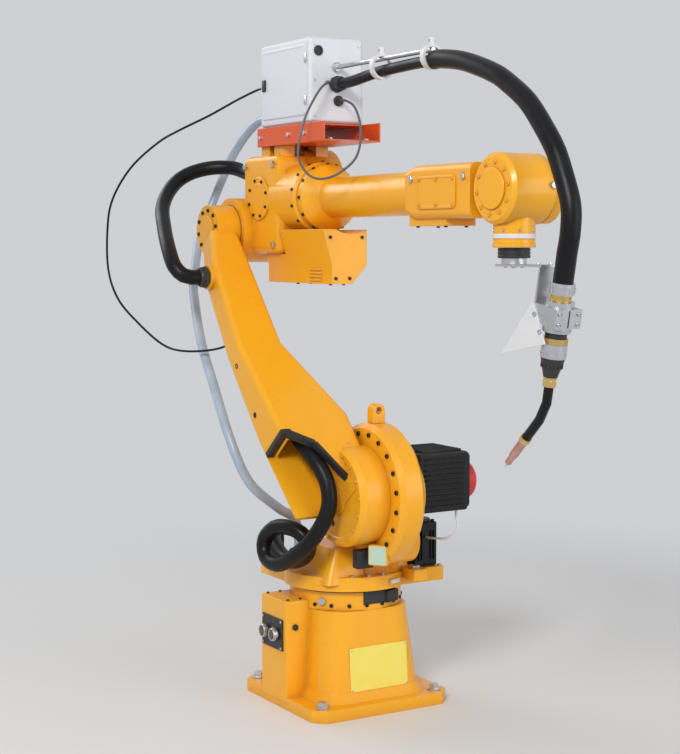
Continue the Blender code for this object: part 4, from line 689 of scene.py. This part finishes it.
ribs("shoulder_motor_ribs", (118, 3.4, 6),
     [facing((SHOULDER_X + side * MOTOR_HALF, MOTOR_MIDDLE_Y, MOTOR_MIDDLE_Z + step),
             (side, 0, 0)) for side in (1, -1) for step in MOTOR_RIBS]
     + [facing((SHOULDER_X + step, MOTOR_MIDDLE_Y, MOTOR_MIDDLE_Z + MOTOR_HALF), UP, pi / 2)
        for step in MOTOR_RIBS])
ribs("slewing_motor_ribs", (74, 3, 4.5),
     [facing((SLEW_X + side * SLEW_HALF, SLEW_Y + step, RIB_Z), (side, 0, 0), pi / 2)
      for side in (1, -1) for step in SLEW_RIBS if side < 0 or abs(step) > 0.006]
     + [facing((SLEW_X + step, SLEW_Y + SLEW_HALF, RIB_Z), FAR, pi / 2) for step in SLEW_RIBS])
fit(block("motor_end_plate", (140, 140, 7), 14, 1.2), MOTOR, "turret",
    facing((SHOULDER_X, MOTOR_FAR + 0.0001, MOTOR_MIDDLE_Z), FAR))
screws(5, 4.8,
       ("motor_tie_bolts",
        [facing((SHOULDER_X + sx * 0.058, MOTOR_FAR + 0.0072, MOTOR_MIDDLE_Z + sz * 0.058), FAR)
         for sx in SIDES for sz in SIDES]
        + [facing((SLEW_X + sx * 0.025, SLEW_Y + sy * 0.025, SLEW_TOP + 0.0001), UP)
           for sx in SIDES for sy in SIDES], (BLACK_STEEL[0], "motor_black"), "turret"))
fit(turned("cap_clamp_ring", [(53, 0), (53.5, 0.8), (53.5, 7), (52.5, 8), (50.3, 8)], 48),
    MOTOR, "turret", facing((SHOULDER_X, MOTOR_FAR + 0.0073, SHOULDER_Z + 0.016), FAR))
fit(turned("slewing_motor_lid", [(29, 0), (29, 5), (27.5, 6.6), (12, 6.6), (11, 5.8)], 36),
    PANEL, "turret", facing((SLEW_X, SLEW_Y, SLEW_TOP), UP))

# Motor plug. An angled plug shell clamped by two screws, with the cable gland under it.
PLUG_Y = 0.1103
fit(turned("plug_collar", [(10.5, 0), (10.5, 4), (9.5, 5), (9.5, 13), (8, 14.5)], 24),
    PANEL, "turret", facing((SHOULDER_X, PLUG_Y, 0.4507), DOWN))
screws(2.2, 1.8,
       ("plug_screws", [facing((0.1631, PLUG_Y + side * 0.012, 0.472), AHEAD)
                        for side in SIDES], STEEL, "turret"))


# Hose glands. Each is a black hexagon body under a ribbed clamping nut with a soft sealing lip.
def hose_gland(name, point, direction, body, bore=20):
    base = facing(point, direction)
    root = turned(name + "_body", [(27.2, 0), (27.6, 0.8), (27.6, 9), (26.2, 10.4), (24, 10.4)], 6)
    fit(root, GLAND, body, base, HEX_SHARP)
    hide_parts(name)
    fit(turned(name + "_nut", [(24, 10.5), (24.8, 11.2), (24.8, 18), (23, 22.2),
                               (bore + 1.4, 23.6), (bore, 22.6)], 40),
        GLAND, body, base)
    set_out(block("tooth", (1.8, 1.2, 6.2), 0.4, 0, 1),
            (name + "_grip", [base @ Matrix.Rotation(angle, 4, "Z") @ moved(0.0252, 0, 0.0115)
                              for angle in angles(20)], GLAND, body))


hose_gland("turret_hose_gland", (-0.154, -0.115, 0.3359), UP, "turret")
hose_gland("turret_sheath_gland", (-0.154, -0.05, 0.3359), UP, "turret", 11.6)

# Turret screws. Cap screws hold the shoulder gearbox round both faces of its ring and the turret's
# plate, hexagon bolts sit on the front lug and low on the slewing ring, and a white clip hangs at
# the plate's edge.
PLATE_TOP = 0.3358
screws(5.8, 4.2,
       ("shoulder_ring_screws",
        circle_of((SHOULDER_X, -0.0351, SHOULDER_Z), NEAR, 0.15, 20, 0.157)
        + circle_of((SHOULDER_X, 0.0351, SHOULDER_Z), FAR, 0.15, 20, 0.157),
        BLACK_STEEL, "turret"),
       ("turret_plate_screws",
        [facing((0.147 * cos(angle), 0.147 * sin(angle), PLATE_TOP), UP)
         for angle in (-0.42, -0.14, 0.14)]
        + [facing((-0.168, y, PLATE_TOP), UP) for y in (0.04, 0.09, 0.132)], STEEL, "turret"),
       ("motor_shelf_screws", [facing((x, y, PLATE_TOP), UP) for x in (0.038, 0.122)
                               for y in (0.206, 0.128)], STEEL, "turret"))
bolts(10, 7.5,
      ("front_lug_bolt", [facing((0.16, 0.108, 0.3459), UP, 0.3)], STEEL, "turret"),
      ("ring_grease_bolt", [out_from((0, 0, 0.272), 0.1411, -0.95, 0.2)], STEEL, "base"))
CLIP = plate_finish("clip_white", "white_plate", (0.8, 0.8, 0.79), (0.72, 0.72, 0.7))
fit(block("plate_edge_clip", (30, 10, 6), 2, 1), CLIP, "turret",
    facing((0.1505, 0.05, 0.318), (0.95, 0.316, 0)))

# Lower arm. Cap screws run round its hub and round the elbow gearbox on its head, blanking plugs
# close small holes in the hub and the arm's side, and two grease nipples stand on its edges.
ARM_FOOT, ARM_LEAN = Vector((SHOULDER_X, 0, SHOULDER_Z)), radians(40.7)
ARM_BACK = (-cos(ARM_LEAN), 0, -sin(ARM_LEAN))
HEAD_Y, HEAD_UP, HUB_Y = -0.1821, 0.853, -0.1121
ARM_GLAND = (-0.28683, -0.2463, 1.06465)


def on_arm(along, across, up):
    """A point of the upright lower arm, in the frame of the floor."""
    return (ARM_FOOT[0] + cos(ARM_LEAN) * along - sin(ARM_LEAN) * up, across,
            ARM_FOOT[2] + sin(ARM_LEAN) * along + cos(ARM_LEAN) * up)


screws(5, 3.6,
       ("arm_hub_screws", circle_of((SHOULDER_X, -0.115, SHOULDER_Z), NEAR, 0.1075, 16, 0.1),
        ORANGE, "lower_arm"),
       ("arm_head_screws", circle_of(on_arm(0, HEAD_Y, HEAD_UP), NEAR, 0.052, 10, 0.2),
        BLACK_STEEL, "lower_arm"))
set_out(turned("hole_plug", [(7.2, 0), (7.2, 1), (6.2, 1.6), (3.6, 1.6), (3.2, 0.6)], 20),
        ("hub_hole_plugs",
         [facing((x, HUB_Y, z), NEAR)
          for x, z in ((0.118, 0.506), (0.158, 0.506), (0.128, 0.474), (0.196, 0.556))],
         PANEL, "lower_arm"),
        ("arm_side_plugs", [facing(on_arm(0.004, y, up), NEAR)
                            for y, up in ((-0.2492, 0.4), (-0.25, 0.25))],
         PANEL, "lower_arm"))
fit(turned("hub_lid", [(42, 0), (42.4, 0.8), (42.4, 3), (41.2, 4), (30, 4), (29, 4.8),
                       (8, 4.8)], 64),
    ORANGE, "lower_arm", facing((SHOULDER_X, HUB_Y, SHOULDER_Z), NEAR))
fit(turned("head_lid", [(38, 0), (38.5, 0.8), (38.5, 3.4), (37.2, 4.6), (10, 5.2)], 56),
    ORANGE, "lower_arm", facing(on_arm(0, HEAD_Y, HEAD_UP), NEAR))
set_out(turned("nipple", [(4.2, 0), (4.2, 3), (2.6, 4.2), (2.6, 6.8), (3.4, 8), (2.4, 9.8)], 12),
        ("arm_grease_nipples", [facing(on_arm(-0.0301, -0.15, 0.64), ARM_BACK),
                                facing((SHOULDER_X, -0.08, 0.6621), UP)], STEEL, "lower_arm"))
hose_gland("arm_hose_gland", ARM_GLAND, NEAR, "lower_arm")
fit(turned("hose_boss_ring", [(32.2, 0), (32.5, 1), (32.5, 5), (31.2, 6)], 48),
    ORANGE, "lower_arm", facing((ARM_GLAND[0], -0.2402, ARM_GLAND[2]), NEAR))

# Mouth shade strips. Black rubber-look strips along the raw edge of the mouth are painted shade for
# the dark inside of the mouth: one length on the side wall and two down the front wall.
ARM_PLACE = Matrix.Translation(ARM_FOOT) @ Matrix.Rotation(-ARM_LEAN, 4, "Y")
fit(block("mouth_shade_strip_side", (104, 28, 13), 3, 2), SEAL, "lower_arm",
    ARM_PLACE @ moved(0.033, -0.234, 0.139))
for name, front, height, start, end in (
        ("mouth_shade_strip_upper", 0.0765, 13, (-0.233, 0.142), (-0.17, 0.1045)),
        ("mouth_shade_strip_lower", 0.0805, 9, (-0.1715, 0.106), (-0.12, 0.001))):
    run = Vector((end[0] - start[0], end[1] - start[1]))
    fit(block(name, (19, run.length / MM, height), 3, 2), SEAL, "lower_arm",
        ARM_PLACE @ moved(front, (start[0] + end[0]) / 2, (start[1] + end[1]) / 2)
        @ Matrix.Rotation(atan2(run.y, run.x), 4, "X") @ moved(0, 0, -0.003))

# Cable clip. A black plastic saddle holds the thin lead to the back of the lower arm.
set_out(block("clip", (22, 14, 12), 3, 2),
        ("lead_clip", [facing(on_arm(-0.0301, -0.2, 0.532), ARM_BACK)], PANEL, "lower_arm"))

# Elbow. A black seal runs round each of its turning faces, cover plates are screwed to its near
# side and its dome, and the gearbox flange carries a circle of cap screws.
EX, EZ = -0.41024, 1.18669
SIDE_X, SIDE_Z = EX + 0.115, EZ + 0.082
DOME_X, DOME_Z = EX + 0.15, EZ + 0.126
FACE_Z, COVER_LOW = EZ + 0.08, EZ - 0.1361
fit(turned("head_seal", [(64, -0.4), (66.8, 0), (67.2, 0.4), (66.8, 0.8), (64, 1)], 72),
    SEAL, "lower_arm", facing((EX, -0.1154, EZ), NEAR))
fit(turned("side_cover", [(56, 0), (56.6, 0.8), (56.6, 4), (55, 5.4), (40, 5.4), (39, 6.2)], 64),
    ORANGE, "elbow", facing((SIDE_X, -0.0861, SIDE_Z), NEAR))
screws(4, 3.4,
       ("elbow_cover_screws", circle_of((SIDE_X, -0.0915, SIDE_Z), NEAR, 0.048, 8, 0.3)
        + circle_of((DOME_X, 0.1001, DOME_Z), FAR, 0.07, 10, 0.1), BLACK_STEEL, "elbow"),
       ("elbow_face_screws", [out_from((EX + 0.298, 0, FACE_Z), 0.0921, angle, lying=True)
                              for angle in angles(14, 0.5) if sin(angle) > -0.8],
        BLACK_STEEL, "elbow"),
       ("motor_cover_screws",
        [facing((EX + x, y, COVER_LOW), DOWN) for x in (0.25, 0.415) for y in (-0.046, -0.008)]
        + [facing((EX + 0.4401, y, EZ + z), AHEAD) for y, z in
           ((-0.062, -0.02), (0.03, -0.02), (-0.046, -0.122), (-0.006, -0.122))],
        BLACK_STEEL, "elbow"))
fit(turned("dome_cover", [(40, 0), (40.4, 0.8), (40.4, 4), (39, 5.2), (12, 5.8)], 56),
    ORANGE, "elbow", facing((DOME_X, 0.1001, DOME_Z), FAR))
bolts(8.5, 7,
      ("elbow_bolts",
       [facing((EX + x, -0.0861, EZ + z), NEAR, x * 9)
        for x, z in ((0.04, 0.168), (0.192, 0.168), (0.192, -0.038))]
       + [facing((EX + 0.05, 0.04, EZ + 0.1941), UP, 0.3)], STEEL, "elbow"))
hose_gland("elbow_hose_gland", (EX + 0.0177, -0.03, EZ + 0.15), BACK, "elbow")
fit(turned("face_seal", [(80, -0.6), (83.2, -0.4), (83.8, 0.3), (83.2, 1), (80, 1.2)], 80),
    SEAL, "elbow", facing((EX + 0.31, 0, FACE_Z), AHEAD))

# Motor cover. The folded cover under the elbow has a short row of louvres in its near side, for
# the motors inside.
set_out(block("louvre", (60, 4.2, 2.6), 1.8, 0.9, 2),
        ("motor_cover_louvres", [facing((EX + 0.36, -0.0562, EZ - 0.1 - 0.009 * step), NEAR)
                                 for step in range(4)], ORANGE, "elbow"))

# Feeder carrier. An orange-red folded tray stands on four pads on the elbow, and hexagon screws
# hold it and its brackets down.
CARRIER = casting_finish("carrier_red", "carrier_paint", (0.86, 0.115, 0.012),
                         (0.7, 0.075, 0.008), (0.92, 0.3, 0.12))
dress(CARRIER, "feeder_carrier")
TRAY_SCREWS = (0.112, 0.262, 0.345)
bolts(6, 5,
      ("carrier_screws",
       [facing((EX + x, -0.0801, EZ + 0.24), NEAR, 0.2) for x in TRAY_SCREWS]
       + [facing((EX + x, 0.0841, EZ + 0.24), FAR, 0.4) for x in TRAY_SCREWS]
       + [facing((EX + 0.42, y, EZ + 0.2204), UP, 0.1) for y in (-0.05, 0.054)],
       STEEL, "elbow"))

# Wire feeder. An off-white sheet-metal housing with a hinged door on its near side, a second on
# its far side, a round filler hole high on its front and a ribbed vent at its back.
FEEDER = finish("feeder_white", "feeder_paint", ((0.8, 0.83, 0.88), 0.36),
                ((0.8, 0.83, 0.88), (0.73, 0.76, 0.82)), 9.0, (0.3, 0.44),
                (420.0, 0.0003, 2.0, 0.3))
dress(FEEDER, "wire_feeder")
FEEDER_X, FEEDER_Z = EX + 0.2335, EZ + 0.2646
FRONT, OUTLET_X = EX + 0.3651, EX + 0.3652
for name, y, side in (("near", -0.0771, -1), ("far", 0.0811, 1)):
    fit(rimmed_plate(name + "_feeder_door", (226, 176, 3), 8, 6, 1), FEEDER,
        "elbow", facing((FEEDER_X, y, FEEDER_Z + 0.108), (0, side, 0)))
    set_out(turned("hinge", [(3.6, 0), (3.8, 0.4), (3.8, 21.6), (3.6, 22)], 16),
            (name + "_door_hinges",
             [facing((FEEDER_X + 0.1145, y + side * 0.0026, FEEDER_Z + z), UP)
              for z in (0.046, 0.15)], STEEL, "elbow"))
    set_out(block("latch", (16, 30, 5), 4, 1.2),
            (name + "_door_latch",
             [facing((FEEDER_X - 0.1, y + side * 0.0021, FEEDER_Z + 0.108), (0, side, 0))],
             PANEL, "elbow"))
fit(turned("filler_ring", [(12.5, 0), (12.7, 0.6), (12.7, 2.4), (11.6, 3.2), (9, 3.2),
                           (8.6, 0.8)], 36),
    PANEL, "elbow", facing((FRONT, -0.052, FEEDER_Z + 0.178), AHEAD))
screws(3.2, 2.2,
       ("feeder_screws",
        [facing((FRONT, y, FEEDER_Z + z), AHEAD) for y in (-0.062, 0.066)
         for z in (0.018, 0.106, 0.195)]
        + [facing((FEEDER_X + x, y, FEEDER_Z + 0.213), UP) for x in (-0.115, 0.115)
           for y in (-0.06, 0.064)], STEEL, "elbow"))
set_out(block("vent", (90, 3.6, 2.2), 1.6, 0.8, 2),
        ("feeder_vent_ribs",
         [facing((EX + 0.1019, 0.002, FEEDER_Z + 0.12 + 0.0085 * step), BACK)
          for step in range(8)], FEEDER, "elbow"))
outlet = turned("outlet_nut", [(20.8, 0), (21, 0.8), (21, 11), (20, 12.2), (19.2, 12.2),
                               (19.2, 23.5), (17.5, 29), (13.9, 29.8), (13.6, 28.8)], 8)
fit(outlet, GLAND, "elbow", facing((OUTLET_X, 0, EZ + 0.3616), AHEAD), HEX_SHARP)
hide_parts("feeder_outlet")
socket = turned("feeder_socket_body", [(13, 0), (13.2, 0.6), (13.2, 6), (12, 7.2), (11, 9.8),
                                       (3.4, 9.8), (3.2, 8.8)], 36)
fit(socket, GLAND, "elbow", facing((OUTLET_X, 0.005, EZ + 0.3206), AHEAD))
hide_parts("feeder_socket")
fit(turned("sheath_inlet", [(18, 0), (18.2, 0.6), (18.2, 3), (17, 4), (12, 4)], 36),
    PANEL, "elbow", facing((EX + 0.1017, 0.02, 1.48), BACK))

# Conduit rings. Two white plastic rings clip the conduit under a bright support rod. Each ring has
# a split lug with a screw on top, and the rod stands in a turned steel foot.
WHITE = plate_finish("ring_white", "white_plate", (0.82, 0.82, 0.83), (0.74, 0.74, 0.76))
dress(WHITE, "rear_ring_clamp", "front_ring_clamp", "seal_band", "torch_guard")
dress(STEEL, "cable_support")
RING_TOPS = [EX + 0.577, EX + 0.791]
RING_TOP_Z = EZ + 0.4155
set_out(block("ring_lug", (12, 11, 16), 2.6, 1.6),
        ("ring_lugs", [facing((x, 0, RING_TOP_Z), UP) for x in RING_TOPS], WHITE, "elbow"))
screws(3.2, 2.8,
       ("ring_lug_screws", [facing((x, side * 0.0055, RING_TOP_Z + 0.009), (0, side, 0))
                            for x in RING_TOPS for side in SIDES], STEEL, "elbow"))
fit(turned("rod_foot", [(12.5, 0), (12.7, 0.6), (12.7, 6), (9, 8), (6.8, 8)], 32),
    STEEL, "elbow", facing((OUTLET_X, 0, EZ + 0.4036), AHEAD))

# Forearm and wrist. Cap screws hold the forearm's flange, the wrist block's side covers and the
# round end covers of the wrist drum, and a lip and small screws run round the barrel.
FX, FZ, WX = -0.10024, 1.26669, 0.69676
BLOCK_Y, DRUM_Y, CHEEK_Y, CHEEK_Z = -0.0561, -0.0581, 0.0841, FZ - 0.014
near_cover = facing((FX + 0.585, BLOCK_Y, FZ - 0.002), NEAR)
screws(4.2, 3.6,
       ("forearm_flange_screws", [out_from((FX + 0.014, 0, FZ), 0.0841, angle, lying=True)
                                  for angle in angles(12)], BLACK_STEEL, "forearm"))
fit(rimmed_plate("wrist_side_cover", (150, 74, 3.6), 12, 5, 0.8), ORANGE, "forearm", near_cover)
screws(4.2, 3.6,
       ("wrist_cover_screws", [near_cover @ moved(x, y, 0.003) for x in (-0.066, 0, 0.066)
                               for y in (-0.029, 0.029)], ORANGE, "forearm"),
       ("wrist_slab_screws",
        [facing((FX + x, y, FZ - 0.0761), DOWN) for x in (0.47, 0.582) for y in (-0.028, 0.028)]
        + [facing((FX + 0.4519, y, FZ - 0.0675), BACK) for y in (-0.024, 0.024)],
        BLACK_STEEL, "forearm"),
       ("cheek_screws", circle_of((WX, CHEEK_Y, CHEEK_Z), FAR, 0.048, 8, 0.2), BLACK_STEEL,
        "forearm"),
       ("wrist_drum_screws", circle_of((WX, DRUM_Y, FZ), NEAR, 0.056, 10, 0.15), ORANGE, "wrist"))
fit(turned("drum_cover", [(44, 0), (44.5, 0.8), (44.5, 3.6), (43, 5), (16, 5.6)], 56),
    ORANGE, "wrist", facing((WX, DRUM_Y, FZ), NEAR))
fit(turned("cheek_cover", [(38, 0), (38.4, 0.8), (38.4, 3.2), (37, 4.4), (12, 4.8)], 56),
    ORANGE, "forearm", facing((WX, CHEEK_Y, CHEEK_Z), FAR))
bolts(8, 7,
      ("wrist_bolts", [facing((FX + x, BLOCK_Y, FZ + 0.03), NEAR, spin)
                       for x, spin in ((0.485, 0.4), (0.69, 0.1))], STEEL, "forearm"),
      ("drum_bolt", [facing((0.7724, 0.042, FZ + 0.006), (1, 0, 0.08), 0.25)], STEEL, "wrist"))
fit(turned("barrel_lip", [(45.2, 0), (46.6, 0.6), (46.8, 6), (45.6, 7), (44, 7)], 64),
    ORANGE, "wrist", facing((WX, 0, FZ - 0.1236), UP))
screws(3, 2.4,
       ("barrel_screws", [out_from((WX, 0, FZ - 0.088), 0.0451, angle)
                          for angle in angles(8, 0.5)], STEEL, "wrist"))

# Tool flange. A bright machined flange under a black insulating ring, with its bolt circle from
# below, carries the torch's folded bracket.
BRACKET = finish("bracket_steel", "steel", ((0.55, 0.56, 0.58), 0.4, 0.9),
                 ((0.6, 0.61, 0.63), (0.46, 0.47, 0.5)), 28.0, (0.3, 0.52),
                 (600.0, 0.0002, 2.0, 0.3))
dress(PANEL, "insulating_ring")
dress(STEEL, "tool_flange")
dress(BRACKET, "torch_bracket", "torch_clamp")
TX, TZ = WX, 1.10769
set_out(turned("groove_ring", [(34.6, 0), (35.2, 0.8), (35.2, 3.4), (34.6, 4.2), (33, 4.2)], 56),
        ("insulator_grooves", [facing((TX, 0, TZ + z), UP) for z in (0.014, 0.021, 0.028)],
         PANEL, "tool"))
screws(4, 3.6,
       ("bracket_screws", circle_of((TX, 0, TZ - 0.0054), DOWN, 0.018, 4, pi / 4)
        + [facing((TX + 0.105, y, TZ - 0.0002), UP) for y in (-0.016, 0.016)], STEEL, "tool"))

# Torch. Turned pieces stand one under the other: a cable collar, brass rings with a knurled grip,
# the steel body in its split clamp, a fluted black handle, a brass neck nut and the bored nozzle.
TORCH = moved(0.86276, 0, 1.07169) @ Matrix.Rotation(radians(11.1), 4, "Y")
dress(STEEL, "cable_collar", "torch_body", "torch_foot", "welding_wire")
dress(BRASS, "upper_brass_ring", "lower_brass_ring", "neck_nut", "nozzle_seat")
dress(PANEL, "torch_groove", "torch_handle")
dress(RUBBER, "torch_neck")
for name, radius, length, depth, count, size, look in (
        ("upper_ring_knurl", 21, 10, 36.3, 36, 1.4, BRASS),
        ("lower_ring_knurl", 26, 9, 125.7, 42, 1.5, BRASS),
        ("collar_flats", 25.8, 14, 20, 8, 5, STEEL),
        ("handle_flutes", 22.6, 15, 180, 14, 2.2, PANEL)):
    set_out(block("tooth", (size, size * 0.8, length), size * 0.3, 0, 1),
            (name, [TORCH @ moved(0, 0, -depth * MM) @ Matrix.Rotation(angle, 4, "Z")
                    @ moved(radius * MM, 0, 0) for angle in angles(count)], look, "tool"))
fit(turned("neck_nut_hexagon", [(15, 0), (15.6, 1), (15.6, 9), (14.8, 10.2)], 6),
    BRASS, "tool", TORCH @ moved(0, 0, -0.216), HEX_SHARP)
for name, radius, depth, length in (("foot_band", 27.4, 154, 6), ("body_band", 30.4, 101, 5)):
    fit(turned(name, [(radius, 0), (radius + 0.6, 0.6), (radius + 0.6, length - 0.6),
                      (radius, length), (radius - 2, length)], 48),
        STEEL, "tool", TORCH @ moved(0, 0, -depth * MM))
CLAMP_X, CLAMP_Z = 0.0341, -0.07
screws(4.6, 4.4,
       ("clamp_screws", [TORCH @ facing((CLAMP_X, y, CLAMP_Z + z), AHEAD)
                         for y in (-0.024, 0.024) for z in (-0.011, 0.011)], STEEL, "tool"),
       ("guard_screws", [TORCH @ facing((x, -0.0374, z), NEAR)
                         for x, z in ((-0.03, -0.072), (-0.006, -0.104))], STEEL, "tool"))
set_out(block("clamp_split", (1.6, 36, 1.2), 0.4, 0, 1),
        ("clamp_split_line", [TORCH @ facing((CLAMP_X, 0, CLAMP_Z), AHEAD)], PANEL, "tool"))
TIP_WAY = Vector((-0.034, 0, -0.048)).normalized()
seat_end = Vector((-0.05, 0, -0.346)) + TIP_WAY * 0.0126
COPPER = finish("nozzle_copper_alloy", "nozzle_copper", ((0.72, 0.42, 0.36), 0.32, 1.0),
                ((0.78, 0.47, 0.4), (0.46, 0.27, 0.24)), 46.0, (0.24, 0.48),
                (700.0, 0.0002, 2.0, 0.4))
nozzle = turned("bored_nozzle", [(9.8, 0), (10.2, 0.6), (10.2, 8), (9.8, 8.8), (9.8, 48),
                                 (7.5, 62), (7.5, 77.6), (7.1, 78), (6.2, 78), (6, 62)], 36)
fit(nozzle, COPPER, "tool", TORCH @ facing(seat_end, TIP_WAY))
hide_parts("gas_nozzle")
fit(turned("contact_tip", [(3.6, 0), (3.6, 9), (2.6, 11.2), (1.2, 11.2)], 20),
    BRASS, "tool", TORCH @ facing(seat_end + TIP_WAY * 0.064, TIP_WAY))
